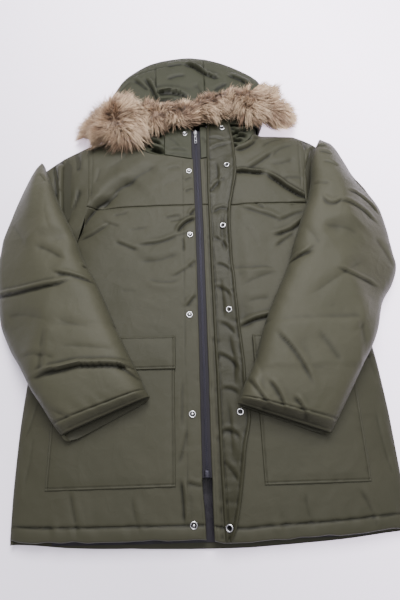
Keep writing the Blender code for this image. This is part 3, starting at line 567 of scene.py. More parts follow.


# %% [markdown]
# ## Cloth finishes
# The shell is a tightly woven olive nylon and cotton cloth with a slight sheen. Three node groups serve
# every cloth: a plain weave that follows each piece's own flat coordinates, a crumple of fine creases and
# slight uneven colour that follows the place on the coat, and painted shade, a darker colour where the
# cloth lies in a hollow.


# %% Node helpers and shared groups
def node(tree, kind, **values):
    """A new node with some of its properties set."""
    made = tree.nodes.new(kind)
    for key, value in values.items():
        setattr(made, key, value)
    return made


def math_node(tree, operation, a, b=None):
    """A Math node fed by sockets or numbers."""
    made = node(tree, "ShaderNodeMath", operation=operation)
    for socket, value in zip(made.inputs, (a, b)):
        if value is None:
            continue
        if isinstance(value, (int, float)):
            socket.default_value = value
        else:
            tree.links.new(value, socket)
    return made.outputs[0]


def new_group(name, inputs, outputs):
    """A node group with named float, colour or vector sockets; returns the tree and its two end nodes."""
    tree = bpy.data.node_groups.new(name, "ShaderNodeTree")
    kinds = {"float": "NodeSocketFloat", "colour": "NodeSocketColor", "vector": "NodeSocketVector"}
    for title, kind, value in inputs:
        socket = tree.interface.new_socket(name=title, in_out="INPUT", socket_type=kinds[kind])
        if value is not None:
            socket.default_value = value
    for title, kind in outputs:
        tree.interface.new_socket(name=title, in_out="OUTPUT", socket_type=kinds[kind])
    return tree, node(tree, "NodeGroupInput"), node(tree, "NodeGroupOutput")


def make_weave():
    """Plain weave: over-and-under threads as the product of two sine waves, each thread rounded by its
    own."""
    tree, start, end = new_group("Plain weave", [("Cloth", "vector", None),
                                                 ("Threads per metre", "float", 1800.0)],
                                 [("Height", "float"), ("Thread shade", "float")])
    split = node(tree, "ShaderNodeSeparateXYZ")
    tree.links.new(start.outputs["Cloth"], split.inputs[0])
    turn = math_node(tree, "MULTIPLY", start.outputs["Threads per metre"], math.pi)
    u = math_node(tree, "MULTIPLY", split.outputs["X"], turn)
    v = math_node(tree, "MULTIPLY", split.outputs["Y"], turn)
    warp = math_node(tree, "ABSOLUTE", math_node(tree, "SINE", u))
    weft = math_node(tree, "ABSOLUTE", math_node(tree, "SINE", v))
    over = math_node(tree, "MULTIPLY", math_node(tree, "COSINE", u), math_node(tree, "COSINE", v))
    height = math_node(tree, "ADD", math_node(tree, "MULTIPLY", warp, 0.5),
                       math_node(tree, "MULTIPLY", weft, 0.5))
    height = math_node(tree, "ADD", height, math_node(tree, "MULTIPLY", over, 0.35))
    tree.links.new(height, end.inputs["Height"])
    shade = math_node(tree, "ADD", math_node(tree, "MULTIPLY", over, 0.5), 0.5)
    tree.links.new(shade, end.inputs["Thread shade"])
    return tree


def make_crumple():
    """Long thin creases and mottling: ridged noise at two sizes for the height, slow noise for the tint."""
    tree, start, end = new_group("Crumpled cloth", [("Place", "vector", None), ("Size", "float", 1.0)],
                                 [("Height", "float"), ("Tint", "float"), ("Fine", "float")])
    stretch = node(tree, "ShaderNodeVectorMath", operation="SCALE")
    tree.links.new(start.outputs["Place"], stretch.inputs[0])
    tree.links.new(start.outputs["Size"], stretch.inputs["Scale"])
    heights = []
    for scale, detail, share in ((11.0, 1.0, 0.8), (34.0, 1.5, 0.2)):
        noise = node(tree, "ShaderNodeTexNoise")
        noise.inputs["Scale"].default_value = scale
        noise.inputs["Detail"].default_value = detail
        noise.inputs["Distortion"].default_value = 0.9
        tree.links.new(stretch.outputs[0], noise.inputs["Vector"])
        ridge = math_node(tree, "ABSOLUTE", math_node(tree, "SUBTRACT", noise.outputs["Fac"], 0.5))
        heights.append(math_node(tree, "MULTIPLY", ridge, -share * 2))
    tree.links.new(math_node(tree, "ADD", *heights), end.inputs["Height"])
    slow = node(tree, "ShaderNodeTexNoise")
    slow.inputs["Scale"].default_value = 9.0
    slow.inputs["Detail"].default_value = 4.0
    tree.links.new(stretch.outputs[0], slow.inputs["Vector"])
    tree.links.new(slow.outputs["Fac"], end.inputs["Tint"])
    fine = node(tree, "ShaderNodeTexNoise")
    fine.inputs["Scale"].default_value = 420.0
    fine.inputs["Detail"].default_value = 2.0
    tree.links.new(stretch.outputs[0], fine.inputs["Vector"])
    tree.links.new(fine.outputs["Fac"], end.inputs["Fine"])
    return tree


def make_painted_hollow_shade():
    """Painted shade: darkens a cloth where it lies in a hollow, by how deep the hollow is, from the piece's
    own attribute.
    """
    tree, start, end = new_group("Painted hollow shade", [("Colour", "colour", None), ("Painted shade colour", "colour", None),
                                                  ("Strength", "float", 0.85)], [("Colour", "colour")])
    painted_shade_amount = node(tree, "ShaderNodeAttribute", attribute_name="painted_shade_amount")
    painted_shade_mix = node(tree, "ShaderNodeMix", data_type="RGBA")
    share = math_node(tree, "MULTIPLY", painted_shade_amount.outputs["Fac"], start.outputs["Strength"])
    tree.links.new(share, painted_shade_mix.inputs["Factor"])
    tree.links.new(start.outputs["Colour"], painted_shade_mix.inputs["A"])
    tree.links.new(start.outputs["Painted shade colour"], painted_shade_mix.inputs["B"])
    tree.links.new(painted_shade_mix.outputs["Result"], end.inputs["Colour"])
    return tree


WEAVE = make_weave()
CRUMPLE = make_crumple()
PAINTED_HOLLOW_SHADE = make_painted_hollow_shade()


# %% One recipe for every woven cloth
def woven(name, deep, light, threads, roughness, sheen, sheen_tint, crumple=0.0021, weave=0.00005,
          gloss=0.15):
    """A woven cloth: colour from deep to light with the slow tint, the fine noise and the threads, darker
    where the cloth lies in a hollow as painted shade; bump from creases and weave; an even sheen on the
    shader itself."""
    material = bpy.data.materials.new(name)
    material.use_nodes = True
    tree = material.node_tree
    shader = tree.nodes["Principled BSDF"]
    place = node(tree, "ShaderNodeTexCoord")
    flat = node(tree, "ShaderNodeUVMap", uv_map="cloth")
    weaving = node(tree, "ShaderNodeGroup", node_tree=WEAVE)
    weaving.inputs["Threads per metre"].default_value = threads
    tree.links.new(flat.outputs["UV"], weaving.inputs["Cloth"])
    crumpling = node(tree, "ShaderNodeGroup", node_tree=CRUMPLE)
    tree.links.new(place.outputs["Object"], crumpling.inputs["Place"])
    mix = node(tree, "ShaderNodeMix", data_type="RGBA")
    mix.inputs["A"].default_value = (*deep, 1)
    mix.inputs["B"].default_value = (*light, 1)
    blend = math_node(tree, "ADD", math_node(tree, "MULTIPLY", crumpling.outputs["Tint"], 0.75),
                      math_node(tree, "MULTIPLY", crumpling.outputs["Fine"], 0.18))
    blend = math_node(tree, "ADD", blend, math_node(tree, "MULTIPLY", weaving.outputs["Thread shade"], 0.16))
    tree.links.new(math_node(tree, "SUBTRACT", blend, 0.05), mix.inputs["Factor"])
    # Painted shade: in hollows the colour falls towards about a tenth of the deep colour.
    painted_shading = node(tree, "ShaderNodeGroup", node_tree=PAINTED_HOLLOW_SHADE)
    painted_shading.inputs["Painted shade colour"].default_value = (deep[0] * 0.12, deep[1] * 0.12, deep[2] * 0.10, 1)
    tree.links.new(mix.outputs["Result"], painted_shading.inputs["Colour"])
    tree.links.new(painted_shading.outputs["Colour"], shader.inputs["Base Color"])
    rough = math_node(tree, "ADD", math_node(tree, "MULTIPLY", crumpling.outputs["Fine"], 0.16),
                      roughness - 0.08)
    tree.links.new(rough, shader.inputs["Roughness"])
    height = math_node(tree, "ADD", math_node(tree, "MULTIPLY", crumpling.outputs["Height"], crumple),
                       math_node(tree, "MULTIPLY", weaving.outputs["Height"], weave))
    bump = node(tree, "ShaderNodeBump")
    bump.inputs["Distance"].default_value = 1.0
    bump.inputs["Strength"].default_value = 0.8
    tree.links.new(height, bump.inputs["Height"])
    tree.links.new(bump.outputs["Normal"], shader.inputs["Normal"])
    shader.inputs["Sheen Weight"].default_value = sheen
    shader.inputs["Sheen Roughness"].default_value = 0.45
    shader.inputs["Sheen Tint"].default_value = (*sheen_tint, 1)
    shader.inputs["Specular IOR Level"].default_value = gloss
    return material


SHELL = woven("olive shell", (0.027, 0.0275, 0.0165), (0.042, 0.0405, 0.0265), 1700, 0.56, 0.03,
              (0.85, 0.9, 0.8))
# Painted shade: the hood, its front corners and the collar get a darker copy of the shell, for the dimmer
# light at the hood end.
HOOD_SHELL_SHADED = woven("olive shell with painted shade for hood", (0.0215, 0.0235, 0.0135), (0.034, 0.035, 0.022), 1700, 0.58, 0.03,
                   (0.8, 0.9, 0.78))
# Painted shade: the turned-back storm flap gets a darker, browner copy of the shell, for how the light falls
# on its turned face.
STORM_SHELL_SHADED = woven("shell with painted shade for storm flap", (0.0160, 0.0160, 0.0088), (0.0290, 0.0285, 0.0165), 2200, 0.46, 0.03,
                    (0.9, 0.88, 0.75), crumple=0.0022, gloss=0.14)
# Painted light: the sleeves get a lighter copy of the shell, for the brighter light on them.
SLEEVE_SHELL_LIT = woven("olive shell with painted light for sleeves", (0.0335, 0.034, 0.0205), (0.052, 0.050, 0.033), 1700, 0.56, 0.03,
                     (0.85, 0.9, 0.8))
LINING = woven("grey lining", (0.011, 0.0092, 0.0135), (0.0175, 0.0155, 0.021), 2600, 0.4, 0.05,
               (0.8, 0.8, 1.0))
TAPE = woven("zip tape", (0.0085, 0.0075, 0.0105), (0.016, 0.0145, 0.019), 900, 0.6, 0.05, (0.8, 0.8, 0.9),
             0.0001, 0.00018)
# Painted shade: the thread is darker than the shell, standing in for the shade along the stitch lines.
THREAD_SHADED = woven("olive thread with painted shade", (0.020, 0.020, 0.013), (0.036, 0.035, 0.024), 5000, 0.5, 0.03,
               (0.9, 0.9, 0.8), 0.0001)
print("cloth finishes:", [m.name for m in (SHELL, HOOD_SHELL_SHADED, STORM_SHELL_SHADED, SLEEVE_SHELL_LIT, LINING, TAPE,
                                           THREAD_SHADED)])

# %% [markdown]
# ## Folds and stitching of the fronts
# Each row is one fold seen on the coat: where it runs, how it bows, how deep and wide it is and on which
# side it banks up. The yokes have the deepest ones, from the neck to the underarms.

# %% Folds of the fronts and yokes
FRONT_FOLDS = Table(FOLD_COLUMNS, [
    (-92, 300, -150, 256, -2, 3.2, 13.0, 0.5), (-136, 266, -200, 210, -4, 5.6, 13.0, 0.7),
    (-190, 220, -247, 132, -9, 7.4, 9.0, 0.8), (-168, 236, -200, 200, -2, 1.6, 3.6, 0.6),
                                   (-208, 300, -216, 262, 2, 0.8, 5.0, 0.4),
    (-70, 250, -40, 262, 2, 0.7, 8.0, 0.4), (-150, 340, -190, 300, 3, 0.8, 9.0, 0.4),
    (-186, 156, -238, 129, 2, 1.8, 3.0, 0.7), (-195, 167, -163, 153, 0, 1.0, 3.0, 0.5),
                                   (-138, 144, -103, 148, 0, 0.7, 3.0, 0.5),
    (-66, 170, -35, 176, 0, 1.1, 3.0, 0.6), (-57, 162, -32, 165, 0, 0.9, 2.6, -0.5),
                                   (-173, 180, -146, 187, 0, 0.9, 3.0, 0.5),
    (-41, 137, -4, 167, 5, 3.0, 2.8, 0.9), (-16, 176, -3, 190, 0, 2.0, 2.6, 0.8),
                                   (-41, 127, -17, 134, 0, 0.9, 2.6, 0.5),
    (-165, 117, -123, 99, -1, 1.5, 3.2, 0.6), (-116, 109, -43, 127, -4, 1.6, 3.0, 0.7),
                                   (-112, 71, -44, 86, -4, 1.7, 7.5, 0.5),
    (-98, 31, -41, 28, -5, 1.2, 5.0, -0.6), (-52, 37, -8, 63, -1, 1.1, 3.4, 0.6),
                                   (-27, -26, -8, -4, 0, 1.6, 2.8, 0.8),
    (-20, 58, -6, 70, 0, 1.1, 2.8, 0.6), (-30, 92, -32, 122, 0, 1.2, 2.4, 0.4),
                                   (-150, 10, -124, 7, 0, 0.5, 4.0, 0.4),
    (-24, 232, -8, 240, 1, 1.3, 2.6, 0.6), (-26, 262, -10, 268, 1, 1.0, 2.6, 0.6),
                                   (-62, 292, -36, 296, 2, 0.8, 3.0, 0.5),
    (88, 385, 144, 375, -10, 2.2, 4.0, 0.6), (92, 340, 138, 366, -6, 3.4, 4.0, 0.8),
                                   (116, 291, 169, 328, -3, 2.2, 4.6, 0.8),
    (150, 350, 196, 372, 4, 1.4, 4.0, 0.5), (172, 322, 218, 352, 5, 1.5, 5.0, 0.5),
                                   (168, 300, 214, 310, -4, 1.4, 6.0, 0.6),
    (84, 282, 146, 277, 1, 4.2, 2.5, 1.0), (156, 272, 232, 209, -2, 4.8, 2.7, 1.0),
                                   (190, 262, 228, 262, 2, 1.2, 4.0, 0.5),
    (96, 188, 169, 157, 3, 1.7, 4.2, 0.7), (169, 157, 222, 176, 2, 1.4, 4.0, 0.7),
                                   (158, 125, 222, 158, -5, 2.6, 3.4, 0.8),
    (157, 99, 196, 130, 0, 1.5, 3.4, 0.6), (72, 53, 146, 50, 2, 1.1, 4.0, -0.6),
                                   (123, 202, 140, 188, 0, 1.2, 2.6, 0.5),
    (77, -65, 150, -50, 3, 3.4, 3.6, 0.9), (86, 16, 150, 40, 4, 1.0, 6.0, 0.5),
                                   (92, -20, 132, -14, 2, 0.9, 5.0, 0.5),
    (92, 150, 120, 100, 2, 0.8, 7.0, 0.4), (196, 196, 232, 200, 1, 1.6, 4.0, 0.6),
                                   (-222, -340, -206, -404, 2, 1.0, 4.0, 0.5),
    (-120, -352, -104, -404, -2, 0.8, 4.0, 0.5), (-40, -330, -36, -388, 1, 2.0, 2.6, 0.8),
                                   (-30, -246, -44, -300, 1, 1.0, 3.0, 0.5),
    (-36, -168, -38, -240, -1, 1.0, 2.6, 0.4), (-6, -336, -30, -330, 1, 1.2, 2.6, 0.6),
                                   (250, -352, 268, -404, 3, 1.2, 4.0, 0.6),
    (160, -356, 168, -400, -2, 0.8, 4.0, 0.5), (-292, -250, -300, -330, 2, 0.9, 6.0, 0.5),
                                   (296, -90, 312, -170, 3, 1.3, 6.0, 0.5),
    (300, -230, 312, -330, -3, 1.0, 6.0, 0.5), (276, -40, 306, -52, 1, 1.2, 3.0, 0.6),
                                   (286, -120, 316, -130, -2, 1.2, 3.0, 0.6),
    (-290, -190, -312, -262, 3, 0.9, 5.0, 0.5)])
FRONT_STITCHING = Table(SEAM_COLUMNS, [
    (-236, 200, -7, 200, 1.3, 1.6, 0.9, 15, 11), (11, 200, 236, 200, 1.3, 1.6, 0.9, 15, 11),
    (-29, 315, -31, -412, 0.55, 1.2, 0.8, 15, 8), (-8, 320, -8, -412, 0.5, 1.3, 0.9, 11, 7),
    (14, 320, 14, -414, 0.5, 1.3, 1.2, 11, 7), (21, 320, 22, -414, 1.2, 2.0, 1.1, 9, 6),
    (-228, 370, -221, 210, 0.6, 1.3, 0.7, 17, 9), (-221, 210, -242, 132, 0.6, 1.3, 0.8, 15, 9),
    (232, 372, 224, 240, 0.7, 1.3, 0.9, 15, 9)])


def hem_work(x, y, hem, seed):
    """The hem: a padded band below its stitch line, with puckers on both sides of the line."""
    up = y - hem
    line = -1.9 * np.exp(-((up - HEM_BAND) / 2.0) ** 2)
    band = 1.3 * np.sin(math.pi * np.clip(up / HEM_BAND, 0, 1))
    puckers = swell(x + 0.3 * up, up * 0.25, 13, seed) * np.exp(-np.abs(up - HEM_BAND) / 14)
    return line + band + 2.3 * puckers * (0.6 + 0.4 * swell(x, 0 * x, 60, seed + 1))


def front_skin(x, y):
    """Upper side of the fronts with its folds, stitching, hem and uneven padding."""
    full = smooth(fullness(x, y) * 1.6)
    work = folds(x, y, FRONT_FOLDS) + seams(x, y, FRONT_STITCHING, 21) + padding(x, y, 5)
    side = np.minimum(np.abs(x - SIDES.at("left", y)), np.abs(SIDES.at("right", y) - x))
    work = work + (1 - open_edge(y)) * 1.5 * swell(y, 0.3 * side, 15, 61) * np.exp(-side / 15)
    beside_flap = np.exp(-np.clip((x - STORM.at("free", y) - 6) / 17, -4, 4) ** 2) * box_ramp(y, -60, 190, 60)
    work = work - 5.0 * beside_flap * (0.8 + 0.3 * swell(y, 0 * y, 45, 63))
    return front_form(x, y) + full * (work + hem_work(x, y, TOPS.at("front_hem", x), 31))


# %% [markdown]
# The fronts and yokes end at the zip, at the hem and at seams with rolled edges, because padding rounds
# every fold. Points gather near the edges so that the roll shows.


# %% Front and yoke panels
def wall_under(x, y, z, wall):
    """The inner side of a body wall: pulled in from the rims and lowered by the wall."""
    e = across(x, y)
    pull = wall * np.sign(e) * np.abs(np.clip(e, -1, 1)) ** 8 * (1 - open_edge(y))
    shoulder = smooth((np.abs(x) - 128) / 30)
    back = wall * shoulder * np.clip(1 - (TOPS.at("top", x) - y) / 62, 0, 1) ** 3
    deep = CREST.at("height", y)
    low = SEAM_Z + GAP + (z - SEAM_Z) * (deep - wall - SEAM_Z - GAP) / (deep - SEAM_Z)
    return x - pull, y - back, np.minimum(low, z - 1.2)


def front_edges(y, side):
    """Where a front starts beside the zip and ends at its side seam or armhole."""
    centre = ZIP.at("centre", y)
    below = smooth((ZIP_BOTTOM_Y - y) / 6)
    word = "left" if side < 0 else "right"
    start = (centre + side * (ZIP_HALF - 1.0 + 0.35 * swell(y, 0 * y, 19, 35))) * (1 -
            below) + FRONT_GAP.at(word, y) * below
    return start, SIDES.at(word, y)


COARSE = 4


def front_panel(name, node_name, side, low, high, width, length, step):
    """One panel between two lines of the plan, from the zip to the side or armhole: points at a share u
    of the width and v of the length, with the front's skin as height and every edge rolled over."""
    v = spaced(length, step)[:, None]
    u = spaced(width, step)[None, :]
    y = (low if low != "hem" else -413) * (1 - v) + (high if high != "top" else 380) * v
    for _ in range(5):
        start, end = front_edges(y, side)
        x = start + (end - start) * u
        y_low = TOPS.at("front_hem", x) + 1.5 * swell(x, 0 * x, 21, 33) + 1.0 if low == "hem" else low
        y_high = TOPS.at("top", x) if high == "top" else high
        y = y_low + (y_high - y_low) * v
    full = smooth(fullness(x, y) * 3)
    z = front_skin(x, y)
    drop = roll(np.abs(x - start), 1.8) + roll(y - y_low, 3.0 if low == "hem" else 0.6)
    neckline = 1 - smooth((np.abs(x) - 128) / 30)
    drop = drop + roll(y_high - y, 0.6) * (1 if high != "top" else 0) + roll(y_high - y, 2.2) * (
        neckline if high == "top" else 0)
    z = np.maximum(z - drop * full, SEAM_Z + GAP)
    outer = grid(x, y, z + GAP / 2)
    xc, yc, zc = (a[::COARSE, ::COARSE] for a in np.broadcast_arrays(x, y, lowest_near(z, COARSE)))
    inner = grid(*wall_under(xc, yc, np.maximum(zc, SEAM_Z + GAP + 0.2), BODY_WALL))
    skin = panel_skin(outer, inner, COARSE)
    piece = finish_piece(name, skin, SHELL, node_name)
    lay_sheet(outer)
    return piece


PANEL_STEP = 2.25
front_panel("front_left_cloth", "front_left", -1, "hem", YOKE_Y - GAP / 2, 310, 613, PANEL_STEP)
front_panel("front_right_cloth", "front_right", 1, "hem", YOKE_Y - GAP / 2, 310, 613, PANEL_STEP)
front_panel("yoke_left_cloth", "yoke_left", -1, YOKE_Y + GAP / 2, "top", 235, 180, 2.0)
front_panel("yoke_right_cloth", "yoke_right", 1, YOKE_Y + GAP / 2, "top", 235, 180, 2.0)

# %% [markdown]
# The back lies flat on the surface and curls up to the seams all round. Its underside has the same stitched
# hem, a yoke seam and a few long, soft folds. The grey lining shows where the fronts part above the hem.

# %% Back panel and lining
BACK_NECK_Y = 398.0
BACK_FOLDS = Table(FOLD_COLUMNS, [
    (-210, 170, -90, 60, 8, 2.6, 7, 0.3), (200, 180, 100, 40, -8, 2.4, 7, 0.3),
                                  (-120, -60, 60, -90, 6, 1.6, 8, 0.3),
    (-240, -200, -120, -260, -5, 1.8, 7, 0.3), (120, -180, 250, -140, 6, 1.8, 7, 0.3),
                                  (-60, 260, 40, 250, 4, 1.6, 6, 0.3),
    (-180, 320, -100, 290, 5, 1.8, 6, 0.3), (190, 330, 110, 280, -5, 1.8, 6, 0.3),
                                  (-30, 60, 20, -30, 4, 1.2, 8, 0.3),
    (-270, -60, -230, -150, 4, 1.6, 7, 0.3), (270, -50, 240, -120, -4, 1.6, 7, 0.3)])
BACK_STITCHING = Table(SEAM_COLUMNS, [
    (-240, 190, 240, 190, 1.3, 1.8, 0.7, 16, 10), (-330, -403, 330, -403, 1.6, 1.8, 0.9, 13, 9)])


def back_skin(x, y):
    """Underside of the back: its form, pressed in by folds and stitch lines but never below the surface."""
    work = folds(x, y, BACK_FOLDS, 3) * 0.8 + seams(x, y, BACK_STITCHING, 43) + padding(x, y, 71, 0.6)
    return np.maximum(back_form(x, y) + np.clip(-work, 0, None) * closing(x, y), 0.0)


def back_points(u, v):
    """Plan points of the back: e across from side to side, v from the hem to the shoulders and back neck."""
    e = np.sin(math.pi * (u - 0.5))
    y = -425 + (385 + 425) * v + 0 * u
    for _ in range(5):
        left, right = SIDES.at("left", y), SIDES.at("right", y)
        x = (left + right) / 2 + e * (right - left) / 2
        neck = smooth((150 - np.abs(x)) / 25)
        y_high = TOPS.at("top", x) * (1 - neck) + (BACK_NECK_Y - GAP) * neck
        y = TOPS.at("back_hem", x) + (y_high - TOPS.at("back_hem", x)) * v
    return e, x, y


e, x, y = back_points(spaced(640, 5.4)[None, :], spaced(810, 5.6)[:, None])
z = back_skin(x, y)
lower = grid(x, y, z - GAP / 2 * np.clip((z - 1) / 4, 0, 1) + roll(y - TOPS.at("back_hem", x), 1.6))
e, x, y, z = (a[::COARSE, ::COARSE] for a in np.broadcast_arrays(e, x, y, back_form(x, y)))
deep = (SEAM_Z - z) / SEAM_Z
pull = BODY_WALL * np.sign(e) * np.abs(e) ** 8 * (1 - open_edge(y))
upper = grid(x - pull, y - BODY_WALL * (1 - closing(x, y)), SEAM_Z - 1.5 * GAP -
             (SEAM_Z - GAP - BODY_WALL) * deep)
back = finish_piece("back_panel_cloth", panel_skin(lower, upper, COARSE), SHELL, "back_panel")
lay_sheet(lower)

v = spaced(717, 9)[:, None]
u = spaced(500, 9)[None, :] * 2 - 1
y = -417 + 717 * v - 3 * (1 - v) * (1 - u**2)
left, right = SIDES.at("left", y), SIDES.at("right", y)
x = (left + right) / 2 + u * 0.40 * (right - left)
floor_z = BODY_WALL + 2 * GAP + (SEAM_Z - BODY_WALL) * (back_form(x, y) / SEAM_Z) * 1.4
ripple = 0.9 * swell(x, y * 0.3, 16, 91) + 0.5 * swell(x, y, 8, 92)
outer = grid(x, y, floor_z + 2.2 + ripple)
inner = grid(x, y, floor_z)[::COARSE, ::COARSE]
lining = finish_piece("lining_back_cloth", panel_skin(outer, inner, COARSE), LINING,
                      "lining_back")
lay_sheet(outer)

# %% [markdown]
# ## Sleeves
# Each sleeve is a flat tube that folds back over the front. Its table gives the outer and inner edge at
# each row from the folded top to the cuff. The under layer follows the body that it rests on. The upper
# layer has the long soft folds of a bent padded sleeve and sharp ones where it doubles over.


# %% What lies under the sleeves
def outline():
    """The coat's flat outline without the sleeves, as two loops: body with sleeve heads, and hood."""
    ys = np.linspace(-410, ARM_LOW_Y, 24)
    left = np.c_[SIDES.at("left", ys), ys]
    right = np.c_[SIDES.at("right", ys), ys][::-1]
    loop = [left, [(-322, 106), (-334, 312), (-293, 344), (-246, 371), (-183, 391), (-130, 396),
                   (130, 396), (229, 389), (262, 372), (300, 338), (322, 110)], right]
    k = np.linspace(0, 15, 40)
    hood = np.vstack([np.c_[HOOD.at("rim_x", k), HOOD.at("rim_y", k)], [(132, 320), (-128, 320)]])
    return np.vstack(loop), hood


def inside(x, y, loop):
    """Signed distance to a closed loop, positive inside: the least distance to its edges, with the sign
    from the number of edges that a level line crosses."""
    px, py = np.ravel(x)[:, None], np.ravel(y)[:, None]
    a, b = loop, np.roll(loop, -1, axis=0)
    d = b - a
    t = np.clip(((px - a[:, 0]) * d[:, 0] + (py - a[:, 1]) * d[:, 1]) / (d**2).sum(1), 0, 1)
    far = np.hypot(px - a[:, 0] - t * d[:, 0], py - a[:, 1] - t * d[:, 1]).min(1)
    spans = (a[:, 1] > py) != (b[:, 1] > py)
    with np.errstate(divide="ignore", invalid="ignore"):
        hits = spans & (px < d[:, 0] * (py - a[:, 1]) / d[:, 1] + a[:, 0])
    return (far * np.where(hits.sum(1) % 2 == 1, 1.0, -1.0)).reshape(np.shape(x))


def rest_height(x, y, skirt=38):
    """Height of soft cloth that lies over the body, its pockets and its turned-back flap; the skirt is
    how far outside the outline it comes down to the surface."""
    body, hood = outline()
    reach = np.maximum(inside(x, y, body), inside(x, y, hood))
    pockets = np.maximum(box_ramp(x, -262, -50, 14), box_ramp(x, 88, 268, 14)) * box_ramp(y, -336, -84, 14)
    flaps = np.maximum(box_ramp(x, -262, -48, 14), box_ramp(x, 88, 268, 14)) * box_ramp(y, -148, -80, 12)
    storm = box_ramp(x, 20, 88, 16) * 8
    lift = CREST.at("height", y) + 1.15 + np.maximum(2.3 * pockets + 2.7 * flaps, storm)
    return lift * smooth((reach + skirt) / 70)


HOOD = Table(("line", "base_x", "base_y", "rim_x", "rim_y"), [
    (0, -128, 404, -150, 408), (1, -126, 408, -178, 450), (2, -120, 410, -193, 505),
    (3, -110, 411, -176, 560),
    (4, -98, 412, -143, 600), (5, -84, 412, -99, 628), (6, -56, 413, -60, 639), (7, 0, 414, 0, 645),
    (8, 28, 414, 27, 642), (9, 66, 414, 72, 623), (10, 92, 413, 115, 597), (11, 108, 412, 146, 574),
    (12, 118, 411, 164, 545), (13, 126, 410, 168, 500), (14, 130, 407, 162, 440), (15, 132, 404, 150, 405)])

# %% Sizes and folds of the sleeves
SLEEVE_COLUMNS = ("row", "outer_x", "outer_y", "inner_x", "inner_y", "rise")
LEFT_SLEEVE = Table(SLEEVE_COLUMNS, [
    (0, -338, 312, -327, 305, 12), (1, -350, 298, -318, 282, 21), (2, -366, 262, -303, 252, 31),
    (3, -379, 216, -287, 214, 39), (4, -391, 164, -264, 162, 44), (5, -402, 118, -242, 115, 45),
    (6, -400, 62, -221, 66, 45), (7, -394, 12, -196, 20, 44), (8, -381, -48, -174, -28, 44),
    (9, -355, -98, -154, -70, 43), (10, -318, -146, -135, -110, 42), (11, -278, -200, -112, -156, 40),
    (12, -236, -252, -92, -194, 34)])
RIGHT_SLEEVE = Table(SLEEVE_COLUMNS, [
    (0, 280, 352, 270, 344, 12), (1, 308, 334, 257, 316, 21), (2, 326, 297, 244, 278, 31),
    (3, 346, 253, 238, 238, 39), (4, 370, 212, 228, 200, 44), (5, 389, 166, 211, 156, 45),
    (6, 394, 110, 196, 114, 45), (7, 396, 58, 177, 64, 44), (8, 380, 14, 157, 20, 44),
    (9, 354, -24, 137, -22, 43), (10, 326, -84, 112, -80, 42), (11, 282, -148, 88, -146, 41),
    (12, 244, -206, 70, -178, 39), (13, 208, -262, 58, -210, 34)])
LEFT_SLEEVE_FOLDS = Table(FOLD_COLUMNS, [
    (-392, 5, -246, 10, -8, 3.0, 2.8, 1.0), (-263, 30, -196, 13, -1, 2.4, 2.6, 0.9),
                                         (-217, 45, -210, 52, 0, 2.4, 2.4, 0.6),
    (-306, 87, -250, 55, 4, 1.8, 7.0, 0.5), (-274, -157, -112, -150, 9, 4.4, 3.0, 1.0),
                                         (-142, -144, -103, -169, -1, 3.0, 2.8, 0.8),
    (-251, -211, -217, -228, 0, 1.2, 4.0, 0.5), (-372, 150, -330, 90, 4, 1.2, 9.0, 0.4),
                                         (-300, 190, -282, 120, -3, 1.0, 9.0, 0.4),
    (-352, -40, -270, -62, 5, 1.3, 9.0, 0.4), (-250, -60, -170, -78, -4, 1.2, 9.0, 0.4),
                                         (-322, 262, -306, 236, 0, 1.5, 3.0, 0.6),
    (-312, -120, -250, -128, 2, 1.3, 5.0, 0.5), (-235, -110, -150, -118, 3, 1.0, 6.0, 0.4)])
RIGHT_SLEEVE_FOLDS = Table(FOLD_COLUMNS, [
    (131, -96, 179, -181, 5, 1.8, 3.0, 0.7), (160, 44, 208, 60, 0, 2.6, 3.0, 0.9),
                                          (255, 20, 328, -5, -1, 1.7, 2.6, 0.7),
    (75, -167, 106, -216, -2, 2.0, 2.8, 0.8), (110, -179, 130, -224, 3, 2.0, 2.8, 0.8),
                                          (147, -207, 169, -241, 1, 2.0, 2.8, 0.8),
    (306, 39, 200, -27, 0, 1.6, 10.0, 0.4), (204, -98, 231, -150, 0, 1.2, 6.0, 0.4),
                                          (301, 188, 367, 161, 10, 2.0, 3.4, 0.8),
    (245, 171, 277, 162, -11, 1.8, 3.4, 0.8), (277, 162, 353, 133, 7, 1.9, 3.6, 0.8),
                                          (169, 46, 215, 69, -1, 1.6, 3.4, 0.6),
    (262, 300, 282, 288, 1, 1.8, 2.8, 0.6), (258, 322, 276, 316, 1, 1.8, 2.6, 0.6),
                                          (264, 268, 290, 252, 2, 1.3, 3.4, 0.5),
    (330, 236, 352, 214, 2, 1.6, 4.0, 0.6), (236, 214, 262, 206, -2, 1.3, 3.6, 0.6),
                                          (240, 110, 300, 96, 5, 1.3, 9.0, 0.4),
    (346, 90, 376, 40, 4, 1.4, 8.0, 0.4), (200, 120, 226, 70, 3, 1.1, 7.0, 0.4),
                                          (260, -100, 300, -70, -3, 1.0, 8.0, 0.4)])


# %% Sleeve tubes
LIFT_BLEND = 12.0    # how softly the upper layer leaves the height of what is under it


def even(column, reach):
    """A column of heights averaged over some rows to both sides."""
    padded = np.pad(column[:, 0], reach, mode="edge")
    return np.convolve(padded, np.ones(2 * reach + 1) / (2 * reach + 1), mode="valid")[:, None]


